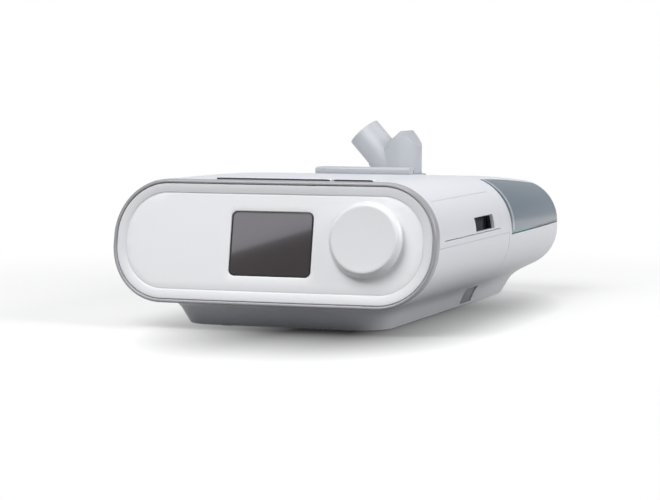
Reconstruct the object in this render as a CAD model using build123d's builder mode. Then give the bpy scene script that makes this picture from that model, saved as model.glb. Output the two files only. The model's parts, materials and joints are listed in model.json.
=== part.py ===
"""Bedside breathing machine with a docked water humidifier, as an assembly of separate pieces.

Millimetres. X runs across the machine, Y from its front face to its back, Z up.
The origin is the middle of the footprint, on the table.
"""

import os
from math import atan, cos, degrees, radians, sin

from build123d import *

# ---- overall sizes ----
width = 193.0
length = 297.0
front_y = -length / 2
rear_y = length / 2
belly_z = 15.0  # underside of the main body above the table
top_front_z = 84.2
top_air_z = 83.4  # over the middle of the air unit
top_dock_z = 81.6
top_mid_z = 78.3  # over the middle of the humidifier
top_rear_z = 72.6
corner_radius = 32.0
rear_narrowing = 4.5  # each side, at the back
rear_belly_rise = 2.5
rear_round = 11.0
wall = 2.2
fit_gap = 0.15  # between pieces that do not move
run_gap = 0.35  # between pieces that move
shaft_gap = 0.05  # radial, shaft in its hole
press_gap = 0.02  # radial, a pin or screw that stays put
seat_gap = 0.05  # between faces that rest on each other

# ---- where the two units meet ----
dock_y = 10.0  # back of the air unit
dock_gap = 0.4
seam_z = 48.0  # upper and lower case of the air unit meet here
lid_edge_z = 47.0
dock_wall = 2.4
humid_y = dock_y + dock_gap  # front of the humidifier
lid_front_y = humid_y + dock_wall + run_gap
lid_under_gap = 0.7
lid_hinge_y = 136.6
lid_hinge_z = 72.25
hinge_nose = 1.4  # the lid's rear edge is round about its hinge
hinge_gap = 0.5
hinge_barrel = 1.35
hinge_pin_radius = 0.8
rim_front_y = 15.7
hinge_lug_x = 43.5
hinge_ear_x = 51.5
hinge_lug_wide = 7.0
hinge_arm_rise = 0.9
hinge_notch = 1.8  # round the ears, from the hinge axis

# ---- plinth ----
plinth_half = 61.0
plinth_front_y = -125.5
plinth_rear_y = 131.0
plinth_corner = 19.0
plinth_lean = 31.0  # degrees from upright
plinth_height = 22.0
floor_thick = 2.5
foot_height = 1.0
foot_radius = 7.0

# ---- front face ----
face_tilt = 10.8  # degrees, top leans back
face_bow = 2.96  # how far the face's ends lie behind its middle
ring_width = 2.4
ring_depth = 6.0
panel_sink = 0.8
field_inset = 10.5
field_sink = 2.2
panel_back = 5.6
screen_width = 49.0
screen_height = 36.4
screen_corner = 3.4
screen_x = 0.4
screen_up = 35.0  # along the face, from its foot
lens_thick = 1.6
dial_x = 56.6
dial_up = 38.5
dial_base_radius = 21.4
dial_face_radius = 19.0
dial_height = 3.9
dial_base_depth = -0.15  # the dial's back stands this far in front of the face
dial_seat_radius = 19.5  # fixed seat behind the dial
dial_travel = 1.0
shaft_radius = 3.0
encoder_depth = 8.5
encoder_thick = 6.0

# ---- top buttons ----
button_front_y = -126.6
button_deep = 9.6
start_button_left = -38.3
start_button_right = 31.2
ramp_button_right = 56.6
button_split = 0.8
button_stand = 1.0  # proud of the case
button_thick = 4.2
button_travel = 0.8
board_thick = 1.6

# ---- side doors ----
filter_door_front_y = -122.0
filter_door_rear_y = -10.0
door_low_z = 52.0
door_high_z = 73.0
door_seam = 0.45
door_thick = 2.0
inlet_front_y = -62.0
inlet_rear_y = -24.0
inlet_low_z = 52.8
inlet_high_z = 61.0
card_door_front_y = -104.0
card_door_rear_y = -58.0
card_door_high_z = 71.0

# ---- blower ----
blower_x = -8.0
blower_y = -62.0
blower_radius = 34.0
blower_low_z = 15.0
blower_high_z = 50.0
blower_wall = 2.2
outlet_x = blower_x + 21.4
outlet_z = (blower_low_z + blower_high_z) / 2
blower_split_z = outlet_z + 1.5
outlet_radius = 12.0
outlet_bore = 9.6
impeller_radius = 27.0
impeller_hub = 7.0
blade_count = 11
blade_thick = 1.2
blade_height = 8.0
blade_middle = 0.58  # of the impeller's radius
blade_length = 0.76  # of the impeller's radius
blade_turn = 28.0  # degrees
impeller_disc = 1.4
motor_radius = 17.0
motor_height = 14.0
motor_edge = 1.5
motor_shaft_radius = 1.6
bearing_radius = 4.5
bearing_height = 3.0

# ---- humidifier ----
tank_half = 66.0
tank_front_y = 27.0
tank_rear_y = 124.0
tank_low_z = 21.7
tank_high_z = 59.0
tank_corner = 14.0
tank_wall = 1.8
tray_gap = 1.2
deck_thick = 1.6
tray_wall = 1.8
tray_low_z = 19.5
deck_z = 44.4
heater_half = 44.0
heater_front_y = 46.0
heater_rear_y = 106.0
port_y = 93.0
port_bore = 9.0
window_edge_x = 76.0
lid_skin = 2.1

# ---- elbow ----
elbow_radius = 13.3
elbow_lean = 48.0  # degrees above level
spigot_radius = 11.0
spigot_length = 18.7
elbow_base_z = 78.7
elbow_slope_x = 11.9
elbow_slope_z = 97.6
neck_radius = 11.6
neck_flange = 13.0

# ---- lid latch ----
latch_half = 30.6
latch_front_y = 14.6
latch_top_z = 85.5
latch_low_z = 80.4
latch_axis_y = 24.6
latch_axis_z = 82.4
latch_barrel = 2.0
latch_ear_x = 20.0
latch_ear_wide = 5.0
latch_pin_radius = 1.1

# ---- dock release ----
release_top_front_y = 12.4
release_wide = 23.0
release_slant = 7.0  # the lower end lies this much further back
release_low_z = 2.4
release_high_z = 13.4
release_thick = 2.4
release_sink = 0.8
release_stem = 3.0
release_inner_x = 53.0
guide_x = 45.0
guide_wide = 6.0
guide_deep = 10.0

# ---- power inlet ----
jack_x = -46.0
jack_z = 33.0
jack_radius = 3.3
jack_depth = 10.0

os.makedirs("parts", exist_ok=True)


def save(piece, name):
    """Labels a finished piece and writes its STEP file."""
    piece.part.label = name
    export_step(piece.part, f"parts/{name}.step")


# ---- shared forms ----
front_spare = 12.0  # the form starts this far before the face, which is cut from it
seam_in = 60.0  # where the doors' openings start inside the case
# Each station is y, half width, underside, top and corner radius of the body there.
stations = [
    (front_y - front_spare, width / 2, belly_z, top_front_z, corner_radius),
    (front_y * 0.4, width / 2 - 0.1, belly_z - 0.2, top_air_z, corner_radius),
    (dock_y, width / 2 - 0.4, belly_z - 0.3, top_dock_z, corner_radius - 1.0),
    (rear_y * 0.5, width / 2 - 1.5, belly_z, top_mid_z, corner_radius - 2.5),
    (rear_y, width / 2 - rear_narrowing, belly_z + rear_belly_rise, top_rear_z, corner_radius - 6.5),
]


def body_form(inset):
    """The main body's outside, drawn in by inset on every side but the front."""
    with BuildPart() as form:
        for y, half, low, high, radius in stations:
            y_here = y if y < rear_y else y - inset
            with BuildSketch(Plane.XZ.offset(-y_here)):
                with Locations((0, (low + high) / 2)):
                    RectangleRounded(2 * (half - inset), high - low - 2 * inset, radius - inset)
        loft()
        fillet(form.faces().sort_by(Axis.Y)[-1].edges(), rear_round - inset)
    return form.part


def plinth_form(inset):
    """The leaning plinth under the body, drawn in by inset."""
    wide = 2 * (plinth_half - inset)
    deep = plinth_rear_y - plinth_front_y - 2 * inset
    with BuildPart() as form:
        with BuildSketch(Plane.XY.offset(foot_height)):
            with Locations((0, (plinth_front_y + plinth_rear_y) / 2)):
                RectangleRounded(wide, deep, plinth_corner - inset)
        extrude(amount=plinth_height, taper=-plinth_lean)
    return form.part


def block(low, high):
    """A plain block between two corners."""
    with BuildPart() as made:
        with Locations(tuple((a + b) / 2 for a, b in zip(low, high))):
            Box(*[b - a for a, b in zip(low, high)])
    return made.part


tilt = radians(face_tilt)
face_normal = Vector(0, -cos(tilt), sin(tilt))
face_up = Vector(0, sin(tilt), cos(tilt))
face_foot = Vector(0, front_y, belly_z)
face_plane = Plane(origin=face_foot, x_dir=(1, 0, 0), z_dir=face_normal)
bow_start = 20.0
bow_plane = Plane(origin=face_foot - face_up * bow_start, x_dir=(1, 0, 0), z_dir=face_up)


def face_layer(shallow, deep):
    """The bowed slice of space between two depths behind the front face."""
    reach = width / 2 + front_spare
    sag = face_bow * (reach / (width / 2)) ** 2
    with BuildPart() as layer:
        with BuildSketch(bow_plane):
            with BuildLine():
                near = ThreePointArc((-reach, shallow + sag), (0, shallow), (reach, shallow + sag))
                far = ThreePointArc((-reach, deep + sag), (0, deep), (reach, deep + sag))
                Line(near @ 0, far @ 0)
                Line(near @ 1, far @ 1)
            make_face()
        extrude(amount=2 * bow_start + top_front_z)
    return layer.part


def on_face(depth):
    """The plane parallel to the face, depth behind its middle."""
    return face_plane.offset(-depth)


big = 2 * length
sky_z = 200.0  # above everything
under_z = -5.0  # below everything
reach_x = 150.0  # longer than any cut has to be
outer = body_form(0)
inner = body_form(wall)
plinth = plinth_form(0)
plinth_inner = plinth_form(wall)
air_side = block((-width, -big, under_z), (width, dock_y, sky_z))
air_hollow_side = block((-width, -big, under_z), (width, dock_y - wall, sky_z))
behind_ring = face_layer(ring_depth, big)
above_floor = block((-width, -big, foot_height + floor_thick), (width, big, sky_z))

# ---- air unit: lower case ----
boss_radius = 4.0
boss_x = 50.0
boss_front_y = -112.0
boss_rear_y = -4.0
boss_spots = [(x, y) for x in (-boss_x, boss_x) for y in (boss_front_y, boss_rear_y)]
screw_radius = 1.5
screw_head_radius = 3.0
screw_head_height = 2.0
board_z = 11.0
board_edge = 5.0  # of the main board beyond its screws
mount_radius = 4.5
mount_reach = 22.0
mount_spots = [
    (blower_x + a, blower_y + b) for a in (-mount_reach, mount_reach) for b in (-mount_reach, mount_reach)
]
connector_x = -34.0
connector_wide = 24.0
connector_high = 10.0
card_y = (card_door_front_y + card_door_rear_y) / 2
card_post_x = -58.0
card_post_radius = 2.6
card_post_y = 14.0  # each side of the card's middle
card_board_z = 51.4
floor_z = foot_height + floor_thick

with BuildPart() as hollow_maker:
    add(inner)
    add(plinth_inner)
    add(above_floor, mode=Mode.INTERSECT)
    add(air_hollow_side, mode=Mode.INTERSECT)
air_hollow = hollow_maker.part

with BuildPart() as lower_case:
    add(outer)
    add(plinth)
    add(air_hollow, mode=Mode.SUBTRACT)
    add(air_side, mode=Mode.INTERSECT)
    add(behind_ring, mode=Mode.INTERSECT)
    add(block((-width, -big, under_z), (width, big, seam_z)), mode=Mode.INTERSECT)
    with BuildSketch(Plane.XY.offset(foot_height)):
        with Locations(*boss_spots):
            Circle(boss_radius)
    extrude(amount=board_z - foot_height)
    with BuildSketch(Plane.XY.offset(foot_height)):
        with Locations(*boss_spots):
            Circle(screw_radius + fit_gap)
    extrude(amount=board_z, mode=Mode.SUBTRACT)
    with BuildSketch(Plane.XY.offset(foot_height)):
        with Locations(*boss_spots):
            Circle(screw_head_radius + fit_gap)
    extrude(amount=screw_head_height + fit_gap, mode=Mode.SUBTRACT)
    with BuildSketch(Plane.XY.offset(foot_height)):
        with Locations((card_post_x, card_y - card_post_y), (card_post_x, card_y + card_post_y)):
            Circle(card_post_radius)
    extrude(amount=card_board_z - foot_height - fit_gap)
    with BuildSketch(Plane.XZ.offset(-dock_y)):
        with Locations((outlet_x, outlet_z)):
            Circle(outlet_radius + fit_gap)
        with Locations((connector_x, outlet_z)):
            Rectangle(connector_wide + 2 * fit_gap, connector_high + 2 * fit_gap)
    extrude(amount=2 * wall, both=True, mode=Mode.SUBTRACT)
save(lower_case, "lower_case")

# ---- air unit: upper case, open for the buttons and the side doors ----
button_rear_y = button_front_y + button_deep
button_left = start_button_left - run_gap
button_right = ramp_button_right + run_gap
button_top_z = top_front_z + button_stand
button_low_z = button_top_z - button_thick
switch_board_z = 72.6
switch_height = 3.5
switch_board_left = -34.0
switch_board_right = 52.0
switch_board_rear_y = -108.5
switch_post_y = -112.0
switch_post_radius = 2.4
switch_wide = 6.0
board_margin = 4.0  # of a circuit board beyond its screws
switch_post_xs = (-30.0, 48.0)


def door_space(front, rear, high, side, grow):
    """The space that a side door takes on one side of the case, grown by its seam."""
    near, far = (seam_in, width) if side > 0 else (-width, -seam_in)
    return block((near, front - grow, door_low_z - grow), (far, rear + grow, high + grow))


side_doors = [
    (filter_door_front_y, filter_door_rear_y, door_high_z, 1),
    (card_door_front_y, card_door_rear_y, card_door_high_z, -1),
]
button_space = block(
    (button_left, button_front_y - run_gap, button_low_z - wall),
    (button_right, button_rear_y + run_gap, button_top_z + wall),
)
with BuildPart() as upper_case:
    add(outer)
    add(air_hollow, mode=Mode.SUBTRACT)
    add(air_side, mode=Mode.INTERSECT)
    add(behind_ring, mode=Mode.INTERSECT)
    add(block((-width, -big, seam_z + fit_gap), (width, big, sky_z)), mode=Mode.INTERSECT)
    add(button_space, mode=Mode.SUBTRACT)
    for front, rear, top, side in side_doors:
        add(door_space(front, rear, top, side, door_seam), mode=Mode.SUBTRACT)
    with BuildSketch(Plane.XY.offset(switch_board_z + board_thick + fit_gap)):
        with Locations(*[(x, switch_post_y) for x in switch_post_xs]):
            Circle(switch_post_radius)
    extrude(amount=top_air_z - wall / 2 - switch_board_z - board_thick - fit_gap)
save(upper_case, "upper_case")

# ---- front ring, panel and screen ----
post_up_low = 17.0
post_up_high = 52.0
post_left = -29.0
post_right = 68.0
post_spots = [(x, up) for x in (post_left, post_right) for up in (post_up_low, post_up_high)]
post_radius = 3.0
front_board_depth = 15.0
dial_seat_depth = dial_base_depth + dial_travel + run_gap
post_lap = 0.8  # the posts and the dial's seat start inside the panel

with BuildPart() as front_ring:
    add(outer)
    add(body_form(ring_width), mode=Mode.SUBTRACT)
    add(face_layer(0, ring_depth - fit_gap), mode=Mode.INTERSECT)
save(front_ring, "front_ring")

with BuildPart() as field_maker:
    add(body_form(field_inset))
    add(face_layer(-front_spare, field_sink), mode=Mode.INTERSECT)
field_space = field_maker.part

with BuildPart() as front_panel:
    add(body_form(ring_width + fit_gap))
    add(face_layer(panel_sink, panel_back), mode=Mode.INTERSECT)
    add(field_space, mode=Mode.SUBTRACT)
    with BuildSketch(on_face(front_board_depth - fit_gap)):
        with Locations(*post_spots):
            Circle(post_radius)
    extrude(amount=front_board_depth - fit_gap - panel_back + post_lap)
    with BuildSketch(on_face(front_board_depth)):
        with Locations(*post_spots):
            Circle(screw_radius)
    extrude(amount=front_board_depth - panel_back - post_lap, mode=Mode.SUBTRACT)
    with BuildSketch(on_face(-panel_back)):
        with Locations((screen_x, screen_up)):
            RectangleRounded(screen_width, screen_height, screen_corner)
    extrude(amount=-4 * panel_back, mode=Mode.SUBTRACT)
    with BuildSketch(on_face(panel_back - post_lap)):
        with Locations((dial_x, dial_up)):
            Circle(dial_seat_radius)
    extrude(amount=panel_back - post_lap - dial_seat_depth)
    with BuildSketch(on_face(0)):
        with Locations((dial_x, dial_up)):
            Circle(shaft_radius + run_gap)
    extrude(amount=-3 * panel_back, mode=Mode.SUBTRACT)
save(front_panel, "front_panel")

lens_depth = field_sink + 0.2
with BuildPart() as screen_lens:
    with BuildSketch(on_face(lens_depth)):
        with Locations((screen_x, screen_up)):
            RectangleRounded(
                screen_width - 2 * fit_gap, screen_height - 2 * fit_gap, screen_corner - fit_gap
            )
    extrude(amount=-lens_thick)
save(screen_lens, "screen_lens")

display_depth = lens_depth + lens_thick + fit_gap
display_thick = 3.0
display_margin = 0.8
with BuildPart() as display:
    with BuildSketch(on_face(display_depth)):
        with Locations((screen_x, screen_up)):
            RectangleRounded(
                screen_width - 2 * display_margin,
                screen_height - 2 * display_margin,
                screen_corner - display_margin,
            )
    extrude(amount=-display_thick)
save(display, "display")

frame_depth = display_depth + display_thick + fit_gap
frame_wall = 2.5
with BuildPart() as display_frame:
    with BuildSketch(on_face(frame_depth)):
        with Locations((screen_x, screen_up)):
            Rectangle(screen_width + 1, screen_height + 1)
            Rectangle(screen_width - 2 * frame_wall, screen_height - 2 * frame_wall, mode=Mode.SUBTRACT)
    extrude(amount=frame_depth - front_board_depth + fit_gap)
save(display_frame, "display_frame")

with BuildPart() as front_board:
    with BuildSketch(on_face(front_board_depth)):
        with Locations(((post_left + post_right) / 2, (post_up_low + post_up_high) / 2)):
            RectangleRounded(
                post_right - post_left + 2 * board_margin, post_up_high - post_up_low + 2 * board_margin, 2
            )
        with Locations(*post_spots):
            Circle(screw_radius, mode=Mode.SUBTRACT)
    extrude(amount=-board_thick)
save(front_board, "front_board")

front_screw_length = 7.0
with BuildPart() as front_board_screws:
    with BuildSketch(on_face(front_board_depth + board_thick + fit_gap)):
        with Locations(*post_spots):
            Circle(screw_head_radius)
    extrude(amount=-screw_head_height)
    with BuildSketch(on_face(front_board_depth + board_thick + fit_gap)):
        with Locations(*post_spots):
            Circle(screw_radius - fit_gap)
    extrude(amount=front_screw_length)
save(front_board_screws, "front_board_screws")

# ---- dial: a knob that turns on a shaft that pushes in ----
dial_taper = degrees(atan((dial_base_radius - dial_face_radius) / dial_height))
dial_edge = 0.7
knob_bore = 2.6
shaft_in_knob = 2.3
encoder_wide = 13.0
with BuildPart() as dial:
    with BuildSketch(on_face(dial_base_depth)):
        with Locations((dial_x, dial_up)):
            Circle(dial_base_radius)
    extrude(amount=dial_height, taper=dial_taper)
    fillet(dial.faces().sort_by(Axis((0, 0, 0), tuple(face_normal)))[-1].edges(), dial_edge)
    with BuildSketch(on_face(dial_base_depth)):
        with Locations((dial_x, dial_up)):
            Circle(shaft_radius + shaft_gap)
    extrude(amount=knob_bore, mode=Mode.SUBTRACT)
save(dial, "dial")

shaft_back_depth = encoder_depth + encoder_thick - dial_travel - run_gap
with BuildPart() as dial_shaft:
    with BuildSketch(on_face(shaft_back_depth)):
        with Locations((dial_x, dial_up)):
            Circle(shaft_radius)
    extrude(amount=shaft_back_depth - dial_base_depth + shaft_in_knob)
save(dial_shaft, "dial_shaft")

with BuildPart() as dial_encoder:
    with BuildSketch(on_face(encoder_depth)):
        with Locations((dial_x, dial_up)):
            RectangleRounded(encoder_wide, encoder_wide, 1)
            Circle(shaft_radius + shaft_gap, mode=Mode.SUBTRACT)
    extrude(amount=-(front_board_depth - fit_gap - encoder_depth))
save(dial_encoder, "dial_encoder")

# ---- top buttons and their switches ----
start_span = (start_button_left, start_button_right)
ramp_span = (start_button_right + button_split, ramp_button_right)
stem_low_z = switch_board_z + board_thick + switch_height + button_travel + 0.2
stem_wide = 6.0
button_corner = 2.2
button_edge = 0.7
switch_board_front_y = button_front_y + 1.5
stem_deep = 4.0


def button_mid(span):
    return ((span[0] + span[1]) / 2, (button_front_y + button_rear_y) / 2)


for button_name, span in (("start_button", start_span), ("ramp_button", ramp_span)):
    with BuildPart() as button:
        with BuildSketch(Plane.XY.offset(button_low_z)):
            with Locations(button_mid(span)):
                RectangleRounded(span[1] - span[0], button_deep, button_corner)
        extrude(amount=button_thick)
        fillet(button.faces().sort_by(Axis.Z)[-1].edges(), button_edge)
        with BuildSketch(Plane.XY.offset(stem_low_z)):
            with Locations(button_mid(span)):
                Rectangle(stem_wide, stem_deep)
        extrude(amount=button_low_z - stem_low_z)
    save(button, button_name)

with BuildPart() as button_board:
    with BuildSketch(Plane.XY.offset(switch_board_z)):
        with BuildLine():
            Polyline(
                (switch_board_left, switch_board_front_y), (switch_board_right, switch_board_front_y),
                (switch_board_right, switch_board_rear_y), (switch_board_left, switch_board_rear_y),
                close=True,
            )
        make_face()
    extrude(amount=board_thick)
    with BuildSketch(Plane.XY.offset(switch_board_z)):
        with Locations(button_mid(start_span), button_mid(ramp_span)):
            Rectangle(switch_wide, switch_wide)
    extrude(amount=board_thick + switch_height)
save(button_board, "button_board")

# ---- side doors: curved pieces of the case's own side ----
with BuildPart() as skin_maker:
    add(outer)
    add(body_form(door_thick), mode=Mode.SUBTRACT)
door_skin = skin_maker.part
frame_inset = door_thick + 3 * run_gap
frame_skin = 1.6
inlet_space = block((seam_in, inlet_front_y, inlet_low_z), (width, inlet_rear_y, inlet_high_z))

with BuildPart() as filter_door:
    add(door_skin)
    add(door_space(filter_door_front_y, filter_door_rear_y, door_high_z, 1, 0), mode=Mode.INTERSECT)
    add(inlet_space, mode=Mode.SUBTRACT)
save(filter_door, "filter_door")

with BuildPart() as card_door:
    add(door_skin)
    add(door_space(card_door_front_y, card_door_rear_y, card_door_high_z, -1, 0), mode=Mode.INTERSECT)
save(card_door, "card_door")

# ---- filters behind the right door ----
filter_box_x = 76.0
filter_low_z = 50.2
filter_high_z = 64.0
filter_wall = 1.4
frame_lap = 3.5
filter_front_y = inlet_front_y - 2.5
filter_rear_y = inlet_rear_y + 2.5
filter_face_x = 89.4
coarse_filter_thick = 5.0
fine_filter_thick = 3.0

with BuildPart() as filter_frame:
    add(body_form(frame_inset))
    add(body_form(frame_inset + frame_skin), mode=Mode.SUBTRACT)
    add(
        block(
            (seam_in, filter_door_front_y - frame_lap, filter_low_z),
            (width, filter_door_rear_y + frame_lap, door_high_z + frame_lap),
        ),
        mode=Mode.INTERSECT,
    )
    add(
        block(
            (filter_box_x, filter_front_y - filter_wall, filter_low_z),
            (filter_face_x + 1, filter_rear_y + filter_wall, filter_high_z),
        )
    )
    add(
        block(
            (0, filter_front_y, filter_low_z + filter_wall),
            (width, filter_rear_y, filter_high_z - filter_wall),
        ),
        mode=Mode.SUBTRACT,
    )
save(filter_frame, "filter_frame")


def filter_pad(name, near_x, far_x):
    """A flat filter pad held in the frame's box."""
    with BuildPart() as pad:
        add(
            block(
                (near_x, filter_front_y + fit_gap, filter_low_z + filter_wall + fit_gap),
                (far_x, filter_rear_y - fit_gap, filter_high_z - filter_wall - fit_gap),
            )
        )
    save(pad, name)


filter_pad("coarse_filter", filter_face_x - coarse_filter_thick, filter_face_x)
fine_far_x = filter_face_x - coarse_filter_thick - fit_gap
filter_pad("fine_filter", fine_far_x - fine_filter_thick, fine_far_x)

# ---- blower: housing halves, motor, bearings, impeller ----
duct_end_y = dock_y - 12.0
duct_radius = outlet_radius
inlet_radius = 12.0
motor_low_z = blower_low_z + blower_wall
bearing_low_z = motor_low_z + 1.0
bearing_high_z = motor_low_z + motor_height - 1.0 - bearing_height
impeller_low_z = motor_low_z + motor_height + 1.8


def blower_form(inset, tube_radius, tube_end):
    """A drum with a tangent outlet tube."""
    with BuildPart() as form:
        with BuildSketch(Plane.XY.offset(blower_low_z + inset)):
            with Locations((blower_x, blower_y)):
                Circle(blower_radius - inset)
        extrude(amount=blower_high_z - blower_low_z - 2 * inset)
        with BuildSketch(Plane.XZ.offset(-blower_y)):
            with Locations((outlet_x, outlet_z)):
                Circle(tube_radius)
        extrude(amount=blower_y - tube_end)
    return form.part


with BuildPart() as blower_maker:
    add(blower_form(0, duct_radius, duct_end_y))
    add(blower_form(blower_wall, outlet_bore, duct_end_y + 1), mode=Mode.SUBTRACT)
    with BuildSketch(Plane.XY.offset(blower_high_z - 2 * blower_wall)):
        with Locations((blower_x, blower_y)):
            Circle(inlet_radius)
    extrude(amount=3 * blower_wall, mode=Mode.SUBTRACT)
blower_shell = blower_maker.part

with BuildPart() as blower_lower:
    add(blower_shell)
    add(block((-width, -width, 0), (width, width, blower_split_z)), mode=Mode.INTERSECT)
save(blower_lower, "blower_lower")

with BuildPart() as blower_upper:
    add(blower_shell)
    add(block((-width, -width, blower_split_z + seat_gap), (width, width, sky_z)), mode=Mode.INTERSECT)
save(blower_upper, "blower_upper")

with BuildPart() as blower_mounts:
    with BuildSketch(Plane.XY.offset(floor_z + seat_gap)):
        with Locations(*mount_spots):
            Circle(mount_radius)
    extrude(amount=blower_low_z - floor_z - 2 * seat_gap)
save(blower_mounts, "blower_mounts")

with BuildPart() as motor:
    with BuildSketch(Plane.XY.offset(motor_low_z + seat_gap)):
        with Locations((blower_x, blower_y)):
            Circle(motor_radius)
            Circle(bearing_radius, mode=Mode.SUBTRACT)
    extrude(amount=motor_height)
    fillet(motor.faces().sort_by(Axis.Z)[-1].edges().sort_by(SortBy.RADIUS)[-1:], motor_edge)
save(motor, "motor")

with BuildPart() as motor_bearings:
    for z in (bearing_low_z, bearing_high_z):
        with BuildSketch(Plane.XY.offset(z)):
            with Locations((blower_x, blower_y)):
                Circle(bearing_radius - press_gap)
                Circle(motor_shaft_radius + shaft_gap, mode=Mode.SUBTRACT)
        extrude(amount=bearing_height)
save(motor_bearings, "motor_bearings")

with BuildPart() as impeller:
    with BuildSketch(Plane.XY.offset(impeller_low_z)):
        with Locations((blower_x, blower_y)):
            Circle(impeller_radius)
    extrude(amount=impeller_disc)
    with BuildSketch(Plane.XY.offset(impeller_low_z)):
        with Locations((blower_x, blower_y)):
            Circle(impeller_hub)
    extrude(amount=blade_height + impeller_disc)
    with BuildSketch(Plane.XY.offset(impeller_low_z)):
        with Locations((blower_x, blower_y)):
            with PolarLocations(impeller_radius * blade_middle, blade_count):
                Rectangle(impeller_radius * blade_length, blade_thick, rotation=blade_turn)
    extrude(amount=blade_height + impeller_disc)
    with BuildSketch(Plane.XY.offset(impeller_low_z)):
        with Locations((blower_x, blower_y)):
            Circle(motor_shaft_radius)
    extrude(amount=2 * blade_height, mode=Mode.SUBTRACT)
save(impeller, "impeller")

with BuildPart() as motor_shaft:
    with BuildSketch(Plane.XY.offset(motor_low_z + 0.5)):
        with Locations((blower_x, blower_y)):
            Circle(motor_shaft_radius)
    extrude(amount=impeller_low_z + blade_height - motor_low_z)
save(motor_shaft, "motor_shaft")

# ---- quiet intake above the blower ----
muffler_wall = 1.6
muffler_low = (blower_x - 18, blower_y - 18, blower_high_z + fit_gap)
muffler_high = (filter_box_x - fit_gap, filter_rear_y + filter_wall, filter_high_z)
muffler_inner_low = tuple(a + muffler_wall for a in muffler_low)
muffler_inner_high = tuple(a - muffler_wall for a in muffler_high)
foam_thick = 4.5
foam_low_x = muffler_inner_low[0] + fit_gap
foam_low_y = muffler_inner_low[1] + fit_gap

with BuildPart() as intake_muffler:
    add(block(muffler_low, muffler_high))
    add(block(muffler_inner_low, muffler_inner_high), mode=Mode.SUBTRACT)
    add(
        block(
            (muffler_inner_high[0] - 1, filter_front_y, filter_low_z + 2 * filter_wall),
            (filter_box_x + 1, filter_rear_y, filter_high_z - 2 * filter_wall),
        ),
        mode=Mode.SUBTRACT,
    )
    with BuildSketch(Plane.XY.offset(blower_high_z)):
        with Locations((blower_x, blower_y)):
            Circle(inlet_radius)
    extrude(amount=2.5 * muffler_wall, mode=Mode.SUBTRACT)
save(intake_muffler, "intake_muffler")

with BuildPart() as muffler_foam:
    add(
        block(
            (foam_low_x, foam_low_y, muffler_inner_high[2] - foam_thick),
            tuple(a - fit_gap for a in muffler_inner_high),
        )
    )
save(muffler_foam, "muffler_foam")

# ---- main board, card reader, connectors ----
with BuildPart() as main_board:
    with BuildSketch(Plane.XY.offset(board_z + fit_gap)):
        with Locations((0, (boss_front_y + boss_rear_y) / 2)):
            RectangleRounded(
                2 * (boss_x + board_edge), boss_rear_y - boss_front_y + 2 * board_edge, 3
            )
        with Locations(*boss_spots):
            Circle(screw_radius + fit_gap, mode=Mode.SUBTRACT)
        with Locations(*mount_spots):
            Circle(mount_radius + 1, mode=Mode.SUBTRACT)
    extrude(amount=board_thick)
save(main_board, "main_board")

chip_z = board_z + fit_gap + board_thick
# Each chip is x, y, width, depth and height.
chips = [
    (38, -100, 12, 12, 1.6),
    (20, -106, 8, 6, 1.2),
    (-30, -104, 18, 9, 8),
    (44, -30, 10, 22, 9),
    (-48, -30, 9, 9, 2),
]
with BuildPart() as board_chips:
    for x, y, wide, deep, tall in chips:
        with BuildSketch(Plane.XY.offset(chip_z)):
            with Locations((x, y)):
                Rectangle(wide, deep)
        extrude(amount=tall)
save(board_chips, "board_chips")

with BuildPart() as case_screws:
    with BuildSketch(Plane.XY.offset(foot_height + fit_gap)):
        with Locations(*boss_spots):
            Circle(screw_head_radius)
    extrude(amount=screw_head_height - fit_gap)
    with BuildSketch(Plane.XY.offset(foot_height + fit_gap)):
        with Locations(*boss_spots):
            Circle(screw_radius)
    extrude(amount=board_z + board_thick)
save(case_screws, "case_screws")

card_wide = 24.0
card_long = 32.0
card_thick = 2.1
card_corner = 0.8
card_out_x = -93.0
reader_out_x = -89.5
reader_height = 4.0
reader_wall = 1.5
reader_half = card_wide / 2 + reader_wall
reader_board_half = card_wide / 2 + 5.0
reader_board_x = card_post_x + 4.0
card_end_x = card_out_x + card_long
card_z = card_board_z + board_thick + (reader_height - card_thick) / 2
with BuildPart() as card_reader:
    add(
        block(
            (reader_out_x, card_y - reader_board_half, card_board_z),
            (reader_board_x, card_y + reader_board_half, card_board_z + board_thick),
        )
    )
    add(
        block(
            (reader_out_x, card_y - reader_half, card_board_z),
            (card_end_x + reader_wall, card_y + reader_half, card_board_z + board_thick + reader_height),
        )
    )
    add(
        block(
            (card_out_x, card_y - card_wide / 2 - fit_gap, card_z - fit_gap),
            (card_end_x + fit_gap, card_y + card_wide / 2 + fit_gap, card_z + card_thick + fit_gap),
        ),
        mode=Mode.SUBTRACT,
    )
save(card_reader, "card_reader")

with BuildPart() as memory_card:
    with BuildSketch(Plane.XY.offset(card_z)):
        with Locations((card_out_x + card_long / 2, card_y)):
            RectangleRounded(card_long, card_wide, card_corner)
    extrude(amount=card_thick)
save(memory_card, "memory_card")

with BuildPart() as outlet_port:
    with BuildSketch(Plane.XZ.offset(-dock_y)):
        with Locations((outlet_x, outlet_z)):
            Circle(outlet_radius)
            Circle(outlet_bore, mode=Mode.SUBTRACT)
    extrude(amount=dock_y - duct_end_y - fit_gap)
save(outlet_port, "outlet_port")

socket_depth = 8.0
plug_wide = connector_wide - 6
plug_high = connector_high - 5
plug_long = 5.0
with BuildPart() as dock_socket:
    with BuildSketch(Plane.XZ.offset(-dock_y)):
        with Locations((connector_x, outlet_z)):
            Rectangle(connector_wide, connector_high)
    extrude(amount=socket_depth)
    with BuildSketch(Plane.XZ.offset(-dock_y)):
        with Locations((connector_x, outlet_z)):
            Rectangle(plug_wide + 2 * run_gap, plug_high + 2 * run_gap)
    extrude(amount=plug_long + 1, mode=Mode.SUBTRACT)
save(dock_socket, "dock_socket")

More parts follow.
